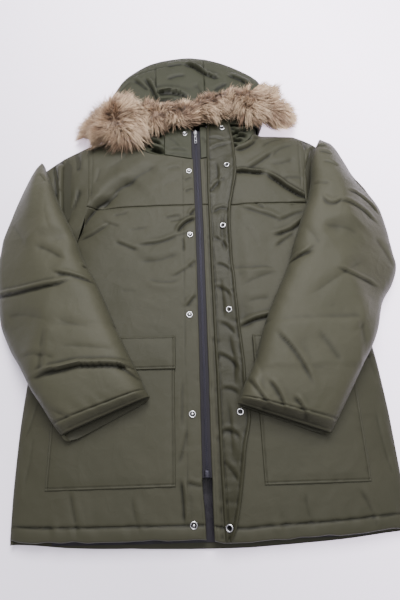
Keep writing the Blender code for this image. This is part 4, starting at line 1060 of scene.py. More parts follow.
def sleeve_shape(table, folds_table, wall, row, turn, seat, lap, lip, span, seed):
    """Points of a flat sleeve at rows along it and turns round it. Round the tube, e = -cos(turn) goes
    from the outer edge to the inner edge; the upper layer is a dome in e over an evened rest height and
    never sinks below it, the under layer lies on what is below. The cuff has a padded band with a stitch
    line, and an under layer longer by the lap."""
    last = table.data["row"][-1]
    e = -np.cos(turn)
    upper = np.sin(turn) >= 0
    ox, oy = table.at("outer_x", row), table.at("outer_y", row)
    ix, iy = table.at("inner_x", row), table.at("inner_y", row)
    width = np.hypot(ix - ox, iy - oy)
    t = 0.5 + 0.5 * e * (1 - 2 * wall / np.maximum(width, 4 * wall + 1))
    bulge = 1.6 * swell(row * 46, 0 * e + 7 * np.sign(e), 30, seed) * np.abs(e) ** 3 / np.maximum(width, 20)
    t = t + bulge * smooth((row - 1) / 1.5)
    x, y = ox + (ix - ox) * t, oy + (iy - oy) * t
    ax, ay = (iy - oy) / width, -(ix - ox) / width
    flip = np.where(ay > 0, -1, 1)
    longer = lap * smooth((row - last + 1) / 1) * np.where(upper, 0, 1) * dome(e, 14) * (0.75 - 0.45 * e)
    x, y = x + longer * ax * flip, y + longer * ay * flip
    base = rest_height(x, y)
    base = base + (GAP + seat) * smooth(base / 4) + 5 * smooth((y - 60) / 80) * smooth(base / 20)
    rise = table.at("rise", row)
    rim = np.minimum(SEAM_Z, rise * 0.4)
    from_cuff = (last - row) * span + 0 * e
    a = dome(e, 4)
    level = base
    if wall == 0:
        inner_rest = even(rest_height(ox + (ix - ox) * 0.86, oy + (iy - oy) * 0.86), 22)
        outer_rest = even(rest_height(ox + (ix - ox) * 0.10, oy + (iy - oy) * 0.10), 22)
        level = outer_rest + (inner_rest - outer_rest) * smooth((e + 1.05) / 1.25) + 2.0
        lift = level - base
        level = base + 0.5 * (lift + np.sqrt(lift**2 + LIFT_BLEND**2)) * smooth(a * 1.25)
    high = level + rim + (rise - wall - rim) * a
    low = base + rim - (rim - wall) * a
    mouth = (high - low) * lip * smooth((24 - from_cuff) / 24) ** 2
    if wall == 0:
        work = folds(x, y, folds_table, seed) + padding(x, y, seed, 1.25)
        round_cuff = swell(e * width / 2 + 0.3 * from_cuff, from_cuff * 0.25, 11, seed + 5)
        work = work - 1.9 * np.exp(-((from_cuff - CUFF_BAND) / 1.8) ** 2)
        work = work + 1.1 * np.sin(math.pi * np.clip(from_cuff / CUFF_BAND, 0, 1))
        work = work + 1.3 * round_cuff * np.exp(-np.abs(from_cuff - CUFF_BAND) / 12)
        edge = swell(row * span, 0 * e + 31 * np.sign(e), 17, seed + 9) * 1.6
        high = high + (work + edge * (1 - a)) * smooth(a * 1.5) * smooth((row - 0.3) / 0.8)
        under = np.clip(work, -1.2, 0) * 0.5
        low = low - under * smooth(a * 1.5)
        tuck = roll(from_cuff, 2.4)
        high, low = high - tuck, low + tuck * 0.5
        high = np.maximum(high, low + 0.5 + 7 * a)
    else:
        high = high - 1.0
    return grid(x, y, np.where(upper, high - mouth, low))


def sleeve(name, node_name, table, folds_table, seat, lap, lip, span, seed):
    """A whole sleeve: fine rings outside, coarse rings inside from a little below the folded top."""
    last = table.data["row"][-1]
    row = np.concatenate([np.linspace(0, 1.4, 21)[:-1], np.linspace(1.4, last - 0.5, 222)[:-1],
                          np.linspace(last - 0.5, last - 0.08, 18)[:-1],
                          np.linspace(last - 0.08, last, 7)])[:, None]
    turn = np.concatenate([np.linspace(0, math.pi, 96, endpoint=False),
                           np.linspace(math.pi, 2 * math.pi, 48, endpoint=False)])
    turn = (turn + 0.2 * np.sin(2 * turn))[None, :]
    outer = sleeve_shape(table, folds_table, 0.0, row, turn, seat, lap, lip, span, seed)
    inner_row = np.linspace(1.5, last, 34)[:, None]
    inner = sleeve_shape(table, folds_table, SLEEVE_WALL, inner_row, turn[:, ::COARSE], seat, lap, lip,
                         span, seed)
    piece = finish_piece(name, tube_skin(outer, inner, COARSE), SLEEVE_SHELL_LIT, node_name)
    lay_sheet(np.concatenate([outer, outer[:, :1]], 1))
    return piece


sleeve("sleeve_left_cloth", "sleeve_left", LEFT_SLEEVE, LEFT_SLEEVE_FOLDS, 0.1, 13.0, 0.30, 54.6, 110)
sleeve("sleeve_right_cloth", "sleeve_right", RIGHT_SLEEVE, RIGHT_SLEEVE_FOLDS, -0.25, 4.0, 0.50, 50.0, 140)

# %% [markdown]
# The sleeve heads join the armholes to the sleeves' folded tops. They are short open bags with deep folds
# that run down beside the armhole seam, where the cloth doubles over.

# %% Sleeve heads
LEFT_HEAD = Table(("out", "up_x", "up_y", "low_x", "low_y"), [
    (0, -246, 371, -264, 100), (0.5, -293, 344, -290, 96), (1, -334, 312, -322, 106)])
RIGHT_HEAD = Table(("out", "up_x", "up_y", "low_x", "low_y"), [
    (0, 229, 389, 266, 100), (0.5, 262, 372, 292, 100), (1, 300, 338, 322, 110)])
HEAD_FOLDS = Table(FOLD_COLUMNS, [
    (-287, 326, -273, 176, -2, 9.0, 5.0, -0.4), (-314, 318, -298, 236, 2, 6.0, 4.0, 0.4),
                                  (-262, 352, -256, 300, 2, 3.0, 4.0, 0.5),
    (-252, 250, -262, 200, 2, 2.0, 4.0, 0.5), (270, 350, 243, 275, -3, 8.0, 5.0, 0.3),
                                  (243, 300, 236, 190, 2, 6.0, 4.5, 0.4),
    (266, 326, 248, 240, 2, 5.0, 3.6, 0.4), (252, 372, 240, 330, -2, 3.0, 4.0, 0.5),
                                  (-300, 338, -292, 322, 0, 3.0, 3.0, 0.5)])


def head_shape(table, side, out, turn, wall, start):
    """Points of a sleeve head: from the armhole (out = 0) to the fold under the sleeve (out = 1), round a
    turn whose cosine goes from the top of the shoulder to the underarm."""
    column = "left" if side < 0 else "right"
    e = np.cos(turn)
    upper = np.sin(turn) >= 0
    t = (1 + e) / 2
    x = table.at("low_x", out) * (1 - t) + table.at("up_x", out) * t
    y = table.at("low_y", out) * (1 - t) + table.at("up_y", out) * t
    y0 = table.at("low_y", 0) * (1 - t) + table.at("up_y", 0) * t
    x0 = table.at("low_x", 0) * (1 - t) + table.at("up_x", 0) * t
    arm = SIDES.at(column, y0)
    x = x + (arm - x0) * (1 - out) + side * SEAM_GAP
    shut = np.sqrt(np.clip(1 - (0.97 * out / (1 - start)) ** 3, 0.03, 1))
    high = (front_form(arm, y0) - SEAM_Z) * shut * (1 - 0.18 * smooth(out * 2))
    if wall == 0:
        work = folds(x, y, HEAD_FOLDS, 7) + padding(x, y, 160, 0.9)
        high = high + np.maximum(work * smooth(high / 12), -0.62 * high) * smooth(out * 9)
    depth = (SEAM_Z - back_form(arm, y0)) * shut
    inner = wall * (1 - np.abs(e) ** 4)
    z = np.where(upper, SEAM_Z + np.maximum(high - inner, 0.34 * high),
                 SEAM_Z - np.maximum(depth - inner, 0.4 * depth))
    return grid(x, y - wall * e * np.abs(e) ** 6, z)


def sleeve_head(name, node_name, table, side):
    """A whole sleeve head, closed where it folds under the sleeve."""
    turn = np.linspace(0, 2 * math.pi, 144, endpoint=False)[None, :]
    out = (1 - np.linspace(0, 1, 33) ** 1.3)[:, None]
    outer = head_shape(table, side, out, turn, 0.0, 0.0)
    inner_out = np.linspace(0.84, 0, 9)[:, None]
    inner = head_shape(table, side, inner_out, turn[:, ::COARSE], SLEEVE_WALL, 0.12)
    piece = finish_piece(name, tube_skin(outer, inner, COARSE), SHELL, node_name)
    lay_sheet(np.concatenate([outer, outer[:, :1]], 1))


sleeve_head("sleeve_head_left_cloth", "sleeve_head_left", LEFT_HEAD, -1)
sleeve_head("sleeve_head_right_cloth", "sleeve_head_right", RIGHT_HEAD, 1)

# %% [markdown]
# ## Hood and collar
# The hood lies flat behind the collar: three panels, each running from the brow over the crown rim and back
# under to the neck. Below the fur come the hood's front corners, gathered and crumpled, and the collar.

# %% Hood panels
HOOD_SEAMS = (5.2, 8.0)
SEAM_SHIFT = 0.0045
HOOD_FOLDS = Table(FOLD_COLUMNS, [
    (-112, 558, -86, 484, 3, 3.4, 3.4, 0.8), (-141, 560, -108, 526, 2, 1.8, 3.4, 0.6),
                                  (-88, 515, -13, 501, 8, 3.0, 3.6, 0.8),
    (-88, 482, -9, 482, 6, 2.6, 3.6, 0.8), (-18, 611, 27, 577, 4, 3.6, 3.2, 0.9),
                                  (24, 578, 60, 561, 1, 2.6, 3.0, 0.7),
    (88, 570, 132, 536, 4, 2.4, 3.4, 0.8), (65, 499, 93, 531, -2, 2.0, 3.2, 0.7),
                                  (-60, 560, -20, 572, 3, 1.2, 5.0, 0.5),
    (-150, 500, -120, 470, 2, 1.4, 5.0, 0.5), (50, 520, 80, 540, 2, 1.2, 4.0, 0.5),
                                  (110, 500, 140, 480, 2, 1.6, 4.0, 0.5),
    (-60, 606, -24, 612, 2, 1.6, 4.0, 0.6), (8, 540, 20, 500, 1, 1.0, 4.0, 0.5),
                                  (-182, 500, -150, 560, 6, 1.2, 6.0, 0.5)])
HOOD_STITCHING = Table(SEAM_COLUMNS, [
    (-92, 622, -84, 420, 1.6, 1.6, 1.1, 15, 12), (27, 634, 28, 420, 1.6, 1.6, 1.1, 15, 12),
    (-182, 548, -133, 581, 1.5, 1.8, 0.7, 14, 8), (-133, 581, -84, 600, 1.5, 1.8, 0.7, 14, 8),
    (-84, 600, -35, 618, 1.3, 1.8, 0.7, 14, 8)])


def hood_shape(line, far, under, wall, detail):
    """Points of the hood on its ruled lines: far runs from the brow (0) to the crown rim (1). Over the
    rim the height falls as a superellipse, and on the under side it comes back to the neck."""
    bx, by = HOOD.at("base_x", line), HOOD.at("base_y", line)
    rx, ry = HOOD.at("rim_x", line), HOOD.at("rim_y", line)
    length = np.hypot(rx - bx, ry - by)
    rim_wave = 0.008 * swell(line * 17, 0 * line, 14, 191) * far**2
    reach = far * (1 - wall / length + rim_wave)
    x, y = bx + (rx - bx) * reach, by + (ry - by) * reach
    y = np.where(under, y - (by - BACK_NECK_Y - GAP) * (1 - reach) ** 2, y)
    fall = np.clip(1 - far ** 3.64, 0, 1)
    top = SEAM_Z + (HOOD_Z - wall - SEAM_Z) * fall ** 0.25
    low = SEAM_Z - (SEAM_Z - wall) * fall ** 0.175
    if detail:
        work = 1.5 * folds(x, y, HOOD_FOLDS, 4) + seams(x, y, HOOD_STITCHING, 83) + padding(x, y, 180, 1.2)
        top = top + work * smooth(fall * 2.5)
        low = low + np.clip(-work, 0, 1.5) * 0.4 * smooth(fall * 2.5)
    return grid(x, y, np.where(under, low, top))


def hood_panel(name, node_name, first, last, columns):
    """One hood panel as a bent wall from brow to back neck."""
    line = np.linspace(first, last, columns)[None, :]
    w = np.concatenate([1 - (1 - np.linspace(0, 1, 65)) ** 1.8, (1 -
            (1 - np.linspace(1, 0, 29)) ** 1.8)[1:]])[:, None]
    under = (np.arange(len(w)) > 64)[:, None]
    outer = hood_shape(line, w, under, 0.0, True)
    inner = hood_shape(line[:, ::COARSE], w[::COARSE], under[::COARSE], HOOD_WALL, False)
    inner[..., 2] -= np.where(under[::COARSE], 0, 2.4)
    piece = finish_piece(name, panel_skin(outer, inner, COARSE), HOOD_SHELL_SHADED, node_name)
    lay_sheet(outer)


hood_panel("hood_side_left_cloth", "hood_side_left", 0, HOOD_SEAMS[0] - SEAM_SHIFT, 85)
hood_panel("hood_centre_cloth", "hood_centre", HOOD_SEAMS[0] + SEAM_SHIFT, HOOD_SEAMS[1] - SEAM_SHIFT, 53)
hood_panel("hood_side_right_cloth", "hood_side_right", HOOD_SEAMS[1] + SEAM_SHIFT, 15, 97)

# %% Collar and the hood's front corners
NECK_FOLDS = Table(FOLD_COLUMNS, [
    (-128, 386, -71, 338, -2, 3.6, 3.6, 0.8), (-116, 372, -78, 366, 4, 2.6, 3.0, 0.7),
                                  (-107, 400, -76, 386, 2, 2.8, 3.2, 0.7),
    (-100, 352, -72, 346, 2, 2.4, 3.0, 0.7), (92, 378, 116, 386, 3, 3.0, 3.2, 0.8),
                                  (70, 392, 118, 400, -3, 2.8, 3.0, 0.7),
    (68, 364, 108, 372, 3, 3.0, 3.0, 0.8), (70, 350, 96, 356, 2, 2.6, 2.8, 0.7),
                                  (84, 404, 104, 384, 1, 2.2, 2.8, 0.6),
    (-52, 348, -20, 342, 2, 1.0, 3.0, 0.5), (-58, 380, -34, 352, 2, 0.9, 3.0, 0.5),
                                  (-60, 334, -14, 330, 2, 0.8, 3.0, 0.5),
    (14, 380, 24, 360, 1, 1.2, 3.0, 0.5)])


def neck_piece(name, node_name, x_low, x_high, drop, amount, top=412.0):
    """A piece between the neckline and the fur: straight sides in x, the neckline below and a level top."""
    u = spaced(x_high - x_low, 2.0, 3.0, 0.8)[None, :]
    v = spaced(74, 2.0, 3.0, 0.8)[:, None]
    x = x_low + (x_high - x_low) * u
    low = TOPS.at("top", x) + 1.0 + 2.0 * smooth((np.abs(x) - 70) / 20)
    high = np.maximum(top, low + 12)
    y = low + (high - low) * v
    x = x + 0 * y
    form = front_form(x, y) - drop
    z = form + folds(x, y, NECK_FOLDS, 9) * amount + padding(x, y, 200, 0.5 * amount)
    z = z - roll(x - x_low, 1.5) - roll(x_high - x, 1.5) - roll(y - low, 1.5)
    outer = grid(x, y, np.minimum(z, form + 4.5))
    inner = grid(x, y, lowest_near(outer[..., 2], COARSE) - 1.8)[::COARSE, ::COARSE]
    piece = finish_piece(name, panel_skin(outer, inner, COARSE), HOOD_SHELL_SHADED, node_name)
    lay_sheet(outer)


neck_piece("collar_left_cloth", "collar_left", -68, -7.6, 0.1, 0.9, 407)
neck_piece("collar_right_cloth", "collar_right", 11.8, 66, 0.1, 0.9, 407)
neck_piece("hood_front_left_cloth", "hood_front_left", -131, -68.4, 2.4, 1.9, 408)
neck_piece("hood_front_right_cloth", "hood_front_right", 66.4, 141, 2.4, 1.9, 408)

# %% [markdown]
# ## Storm flap and pockets
# The storm flap is turned back and gathered by two lines of stitching along it; its cloth is a darker,
# browner copy of the shell, painted shade and tint for how light falls on its turned face.
# The patch pockets are sewn down on three sides under deep flaps, which are stitched top and bottom.

# %% Storm flap
FLAP_FOLDS = Table(FOLD_COLUMNS, [
    (34, 180, 62, 186, 4, 1.6, 2.8, 0.7), (30, 232, 58, 262, 2, 1.6, 3.0, 0.6),
                                  (44, 300, 46, 240, 2, 1.4, 3.0, 0.6),
    (36, 340, 70, 352, 3, 1.2, 3.0, 0.6), (32, 372, 62, 366, 3, 1.0, 3.0, 0.6),
                                  (32, 120, 56, 92, 3, 1.3, 3.0, 0.6),
    (34, 60, 60, 44, 3, 1.3, 3.0, 0.6), (30, 12, 56, -8, 3, 1.4, 3.0, 0.6),
                                  (34, -60, 60, -84, 3, 1.3, 3.0, 0.6),
    (30, -120, 62, -150, 4, 1.5, 3.0, 0.6), (34, -182, 60, -190, 3, 1.3, 3.0, 0.6),
                                  (32, -250, 58, -262, 3, 1.5, 3.0, 0.6),
    (30, -300, 50, -330, 2, 1.3, 3.0, 0.6), (40, 20, 42, -50, 1, 1.0, 3.4, 0.5),
                                  (52, 170, 50, 90, -2, 1.1, 3.4, 0.5),
    (50, -90, 56, -170, 2, 1.1, 3.4, 0.5), (42, -210, 44, -290, 1, 1.0, 3.4, 0.5)])
PIPING = 3.2       # how wide the raised edge of the storm flap is


def flap_shape(u, y):
    """Height of the storm flap over the front: it rises towards its free edge, with raised piping on both
    edges, a stitch line inside each and puckers between them."""
    fold, free = STORM.at("fold", y), STORM.at("free", y)
    x = fold + (free - fold) * u
    width = free - fold
    from_fold, from_free = u * width, (1 - u) * width
    ground = front_form(x, y) + 0.6 + STORM.at("stand", y) * u**2 + FLAP_WALL
    piping = 0.9 * (np.exp(-((from_free - PIPING) / 1.6) ** 2) + 0.8 *
                    np.exp(-((from_fold - PIPING) / 1.6) ** 2))
    lines = sum(np.exp(-((d - 7.0) / 1.3) ** 2) for d in (from_fold, from_free))
    pucker = swell(x * 0.35, y, 7.5, 221) * (np.exp(-np.abs(from_free - 7) / 8) +
                                             np.exp(-np.abs(from_fold - 7) / 8))
    inside_work = 0.5 * swell(x, y * 0.4, 12, 223) + folds(x, y, FLAP_FOLDS, 12)
    middle = smooth(from_fold / 8) * smooth(from_free / 8)
    return x, ground + piping - 0.9 * lines + 0.8 * pucker * middle + inside_work * middle - roll(
        from_free, 1.8) - roll(from_fold, 2.4)


y = (-416 + 840 * spaced(840, 2.6))[:, None]
u = spaced(60, 2.3, 5.0, 1.0)[None, :]
x, z = flap_shape(u, y)
wave = 0.9 * swell(y, 0 * y, 34, 227) * u
y_end = y + 0 * u
outer = grid(x + wave, y_end, z)
under = np.minimum(z - FLAP_WALL + 0.6, lowest_near(z, COARSE) - 1.6)
inner = grid(x + wave, y_end, under)[::COARSE, ::COARSE]
storm = finish_piece("storm_flap_cloth", panel_skin(outer, inner, COARSE), STORM_SHELL_SHADED,
                     "storm_flap")
lay_sheet(outer)


# %% Pockets and their flaps
def ground_height(x, y):
    """The front under a pocket, with only its wide folds and swells."""
    return front_form(x, y) + padding(x, y, 5) * 0.8


def patch(name, node_name, x_low, x_high, y_low, y_high, lift, stitched, seed, skew=0.0):
    """A flat piece sewn on a front: it stands a little off it, thickest inside its stitch lines, with a
    groove along each stitched edge ("l", "r", "b", "t") and rolled rims. The skew turns its upright
    edges."""
    u = spaced(x_high - x_low, 3.0, 7.0, 1.3)[None, :]
    v = spaced(y_high - y_low, 3.0, 7.0, 1.3)[:, None]
    y = y_low + (y_high - y_low) * v
    x = x_low + (x_high - x_low) * u + skew * (1 - v)
    y = y + 0 * x
    sides = {"l": u * (x_high - x_low) + 0 * v, "r": (1 - u) * (x_high - x_low) + 0 * v,
             "b": v * (y_high - y_low) + 0 * u, "t": (1 - v) * (y_high - y_low) + 0 * u}
    nearest = np.minimum.reduce(list(sides.values()))
    body = POCKET_WALL + 0.9 * smooth((nearest - 2) / 16) + 0.45 * swell(x, y, 38, seed) + 0.12 * swell(x,
            y, 12, seed + 1)
    for key, distance in sides.items():
        along = y if key in "lr" else x
        if key in stitched:
            body = body - 0.9 * np.exp(-((distance - 4.0) / 1.3) ** 2)
            body = body + 0.5 * swell(along, distance * 0.3, 10, seed + 3) * np.exp(-distance / 9)
    rim = np.maximum.reduce([roll(d, 1.3) for d in sides.values()])
    ground = ground_height(x, y) + 0.5 + lift
    outer = grid(x, y, ground + body - rim)
    inner = grid(x, y, ground)[::COARSE, ::COARSE]
    piece = finish_piece(name, panel_skin(outer, inner, COARSE), SHELL, node_name)
    return piece, outer


FLAP_LIFT = POCKET_WALL + 2.0
for word, low_x, high_x, low_y, high_y, flap_low, flap_high, flap_x0, flap_x1, seed in (
        ("left", -263, -50, -336, -92, -145, -84, -263, -48, 241),
        ("right", 95, 271, -338, -94, -140, -86, 93, 271, 251)):
    pocket, cut = patch(f"pocket_{word}_cloth", f"pocket_{word}", low_x, high_x, low_y, high_y, 0.0, "lrb",
                        seed)
    lay_sheet(cut)
    flap, cut = patch(f"pocket_flap_{word}_cloth", f"pocket_flap_{word}", flap_x0, flap_x1, flap_low,
                      flap_high,
                      FLAP_LIFT, "lrbt", seed + 5)
    lay_sheet(cut)

# %% [markdown]
# ## Zip
# A moulded zip: two woven tapes and a tooth every three millimetres on each side, the two rows offset by
# half a pitch so that they lock. Each tooth is a small block with a rounded nose, copied as one array.


# %% Tapes and teeth
def strip(name, node_name, x_of, y, z_of, thick, material):
    """A thin flat strip: x_of and z_of give its places across at each y."""
    x = x_of(y)
    z = z_of(x, y + 0 * x)
    outer = grid(x, y + 0 * x, z)
    inner = grid(x, y + 0 * x, z - thick)[::COARSE, ::COARSE]
    return finish_piece(name, panel_skin(outer, inner, COARSE), material, node_name), outer


def zip_ground(y):
    """Height of the front at the zip's middle."""
    return front_form(ZIP.at("centre", y), y)


tape_y = (ZIP_BOTTOM_Y + (ZIP_TOP_Y - ZIP_BOTTOM_Y) * spaced(722, 4.0))[:, None]
for word, near, far in (("left", -GAP / 2, -ZIP_HALF - 1.8), ("right", GAP / 2, ZIP_HALF + 1.8)):
    across_tape = np.linspace(near, far, 9)[None, :]
    tape, cut = strip(f"zip_tape_{word}_cloth", f"zip_tape_{word}",
                      lambda y: ZIP.at("centre", y) + across_tape, tape_y,
                      lambda x, y: zip_ground(y) - 2.2 + 0.25 * np.cos(across_tape * 2.6) - 0.04 *
                      across_tape**2 / 4
                      + 0.3 * swell(x, y, 14, 261), 1.0, TAPE)
    lay_sheet(cut)

TOOTH_PITCH = 3.0
SLIDER_Y = 385.0


def copies(shape, faces, places):
    """One shape placed many times: every point of every copy is the shape's point plus the copy's place."""
    points = shape[None] + places[:, None]
    numbers = (faces[None] + (np.arange(len(places)) * shape.shape[0])[:, None, None]).reshape(-1,
            faces.shape[1])
    return points.reshape(-1, 3), numbers


def tooth_shape(side):
    """Half sections of a tooth from its foot on the tape to its nose: (reach, half width, height) rings."""
    rings = np.array([(2.7, 0.5, 0.8), (2.4, 0.62, 1.25), (0.9, 0.55, 1.5), (-0.2, 0.85, 1.35),
                      (-0.8, 0.5, 0.8)])
    corner = np.array([(-1, 0), (-1, 1), (1, 1), (1, 0)])
    points = np.array([[(side * r[0], c[0] * r[1], c[1] * r[2]) for c in corner] for r in rings])
    quads = grid_quads(len(rings), 4, 0, True)
    ends = np.array([[3, 2, 1, 0], [16, 17, 18, 19]])
    return points.reshape(-1, 3), np.vstack([quads, ends])


teeth = Skin()
tooth_y = np.arange(ZIP_BOTTOM_Y + 12, SLIDER_Y - 1, TOOTH_PITCH)
for side, shift in ((-1, 0.0), (1, TOOTH_PITCH / 2)):
    y = tooth_y + shift
    places = np.c_[ZIP.at("centre", y), y, zip_ground(y) - 2.0]
    shape, faces = tooth_shape(side)
    faces = faces if side < 0 else faces[:, ::-1]
    points, quads = copies(shape, faces, places)
    teeth.add(points, quads)


# %% [markdown]
# Metal finishes read the place on the coat for fine brushing and faint wear. The teeth are satin grey, the
# snaps polished with painted shade in their recesses, the slider and its pull brushed.


# %% Metals
def metal(name, colour, dull, roughness, grain, shaded_recesses=False):
    """A metal whose colour and gloss vary with noise stretched along y, with a fine bump. With shaded
    recesses, painted shade darkens the places whose second flat coordinate is low."""
    material = bpy.data.materials.new(name)
    material.use_nodes = True
    tree = material.node_tree
    shader = tree.nodes["Principled BSDF"]
    place = node(tree, "ShaderNodeTexCoord")
    stretch = node(tree, "ShaderNodeMapping")
    stretch.inputs["Scale"].default_value = (1.0, 0.22, 1.0)
    tree.links.new(place.outputs["Object"], stretch.inputs["Vector"])
    noise = node(tree, "ShaderNodeTexNoise")
    noise.inputs["Scale"].default_value = grain
    noise.inputs["Detail"].default_value = 4.0
    tree.links.new(stretch.outputs["Vector"], noise.inputs["Vector"])
    mix = node(tree, "ShaderNodeMix", data_type="RGBA")
    mix.inputs["A"].default_value = (*dull, 1)
    mix.inputs["B"].default_value = (*colour, 1)
    tree.links.new(noise.outputs["Fac"], mix.inputs["Factor"])
    shade = mix.outputs["Result"]
    # Painted shade: the colour is multiplied by the second flat coordinate, so the snaps' recesses are dark.
    if shaded_recesses:
        flat = node(tree, "ShaderNodeUVMap", uv_map="cloth")
        split = node(tree, "ShaderNodeSeparateXYZ")
        tree.links.new(flat.outputs["UV"], split.inputs[0])
        recess_shade_mix = node(tree, "ShaderNodeMix", data_type="RGBA", blend_type="MULTIPLY")
        recess_shade_mix.inputs["Factor"].default_value = 1.0
        tree.links.new(shade, recess_shade_mix.inputs["A"])
        tree.links.new(split.outputs["Y"], recess_shade_mix.inputs["B"])
        shade = recess_shade_mix.outputs["Result"]
    tree.links.new(shade, shader.inputs["Base Color"])
    tree.links.new(math_node(tree, "ADD", math_node(tree, "MULTIPLY", noise.outputs["Fac"], 0.2),
                             roughness - 0.1),
                   shader.inputs["Roughness"])
    bump = node(tree, "ShaderNodeBump")
    bump.inputs["Distance"].default_value = 0.00004
    bump.inputs["Strength"].default_value = 0.5
    tree.links.new(noise.outputs["Fac"], bump.inputs["Height"])
    tree.links.new(bump.outputs["Normal"], shader.inputs["Normal"])
    shader.inputs["Metallic"].default_value = 1.0
    return material


TEETH_METAL = metal("satin zip teeth", (0.050, 0.048, 0.060), (0.016, 0.0155, 0.021), 0.5, 900)
SNAP_METAL = metal("polished snaps", (0.62, 0.62, 0.63), (0.34, 0.34, 0.35), 0.24, 1400, shaded_recesses=True)
SLIDER_METAL = metal("brushed slider", (0.36, 0.36, 0.38), (0.2, 0.2, 0.21), 0.3, 1200)
finish_piece("zip_teeth", teeth, TEETH_METAL, "zip_chain", flat_angle=35)


# %% [markdown]
# The end box, slider and pull are small castings. Each part is a profile carried along a closed path or a
# rounded block, and the pull hangs from the slider's bridge on its own body.


# %% Zip box, slider and pull
def rounded_block(skin, centre, half, corner=0.45, bevel=0.18, taper=0.0):
    """A block with a superellipse outline in plan and bevelled top and bottom edges; the taper narrows
    its low end. Rings run from the bottom centre over the sides to the top centre."""
    angle = np.linspace(0, 2 * math.pi, 28, endpoint=False)
    c, s = np.cos(angle), np.sin(angle)
    ox = np.sign(c) * np.abs(c) ** corner
    oy = np.sign(s) * np.abs(s) ** corner
    ox = ox * (1 - taper * (1 - oy) / 2)
    shrink = np.array([1 - 2.2 * bevel, 1 - bevel * 0.6, 1, 1, 1 - bevel * 0.6, 1 - 2.2 * bevel])[:, None]
    height = np.array([-1, -0.86, -0.55, 0.55, 0.86, 1])[:, None]
    x, y, z = ox * shrink * half[0], oy * shrink * half[1], height * half[2] + 0 * ox
    points = np.vstack([grid(x, y, z).reshape(-1, 3), [(0, 0, -half[2]), (0, 0, half[2])]]) + np.array(centre)
    ring = np.arange(28)
    tris = np.vstack([cap(ring, 6 * 28), cap(5 * 28 + ring, 6 * 28 + 1, True)])
    skin.add(points, grid_quads(6, 28, 0, True), None, tris)


def bar_loop(skin, centre, half_x, half_y, thick_x, thick_z, corner=0.5):
    """A closed wire bent to a rounded oblong: an oval section carried along a superellipse path in plan."""
    path = np.linspace(0, 2 * math.pi, 36, endpoint=False)[:, None]
    c, s = np.cos(path), np.sin(path)
    px = np.sign(c) * np.abs(c) ** corner * half_x
    py = np.sign(s) * np.abs(s) ** corner * half_y
    nx, ny = c / half_x, s / half_y
    length = np.hypot(nx, ny)
    round_angle = np.linspace(0, 2 * math.pi, 10, endpoint=False)[None, :]
    reach = thick_x * np.cos(round_angle)
    points = grid(px + nx / length * reach, py + ny / length * reach, thick_z * np.sin(round_angle) + 0 * px)
    around = grid_quads(36, 10, 0, True)
    last = np.stack([35 * 10 + np.arange(10), 35 * 10 + (np.arange(10) + 1) % 10, (np.arange(10) + 1) % 10,
                     np.arange(10)], -1)
    skin.add(points.reshape(-1, 3) + np.array(centre), np.vstack([around, last])[:, ::-1])


box = Skin()
box_z = float(zip_ground(ZIP_BOTTOM_Y + 5)) - 0.4
rounded_block(box, (1.9, ZIP_BOTTOM_Y + 5.4, box_z), (4.6, 6.0, 1.6), 0.4)
rounded_block(box, (-0.6, ZIP_BOTTOM_Y + 7.0, box_z + 1.5), (0.9, 4.2, 0.5), 0.6)
rounded_block(box, (4.2, ZIP_BOTTOM_Y + 7.0, box_z + 1.5), (0.9, 4.2, 0.5), 0.6)
finish_piece("zip_box_casting", box, TEETH_METAL, "zip_box")

slider_x = float(ZIP.at("centre", SLIDER_Y + 6))
slider_z = float(front_form(slider_x, SLIDER_Y + 6)) - 2.0
SLIDER_SKIN = 2.4
BRIDGE_OPEN = 1.8
BRIDGE_SKIN = 1.1
slider = Skin()
rounded_block(slider, (slider_x, SLIDER_Y + 6, slider_z + SLIDER_SKIN / 2), (4.6, 6.0, SLIDER_SKIN / 2),
              0.5, 0.1, 0.28)
rounded_block(slider, (slider_x, SLIDER_Y + 1.2, slider_z + 3.2), (1.15, 1.1, 1.7), 0.5)
rounded_block(slider, (slider_x, SLIDER_Y + 10.8, slider_z + 3.2), (1.15, 1.1, 1.7), 0.5)
bridge_z = slider_z + SLIDER_SKIN + BRIDGE_OPEN + BRIDGE_SKIN / 2
rounded_block(slider, (slider_x, SLIDER_Y + 6, bridge_z), (1.3, 5.9, BRIDGE_SKIN / 2), 0.6)
finish_piece("zip_slider_casting", slider, SLIDER_METAL, "zip_slider")

hinge = np.array([slider_x, SLIDER_Y + 3.6, slider_z + SLIDER_SKIN + BRIDGE_OPEN / 2])
pull = Skin()
bar_loop(pull, hinge + (0, -4.5, 0), 2.25, 4.6, 0.55, 0.52)
rounded_block(pull, hinge + (0, -10.2, 0), (2.2, 1.4, 0.52), 0.5)
bar_loop(pull, hinge + (0, -16.0, 0), 2.3, 5.6, 0.68, 0.55, 0.4)
rounded_block(pull, hinge + (0, -21.6, 0), (2.4, 0.8, 0.5), 0.5)
bar_loop(pull, hinge + (0, -25.0, 0), 2.3, 3.6, 0.68, 0.55, 0.4)
finish_piece("zip_pull_casting", pull, SLIDER_METAL, "zip_pull", body="pull_tab")
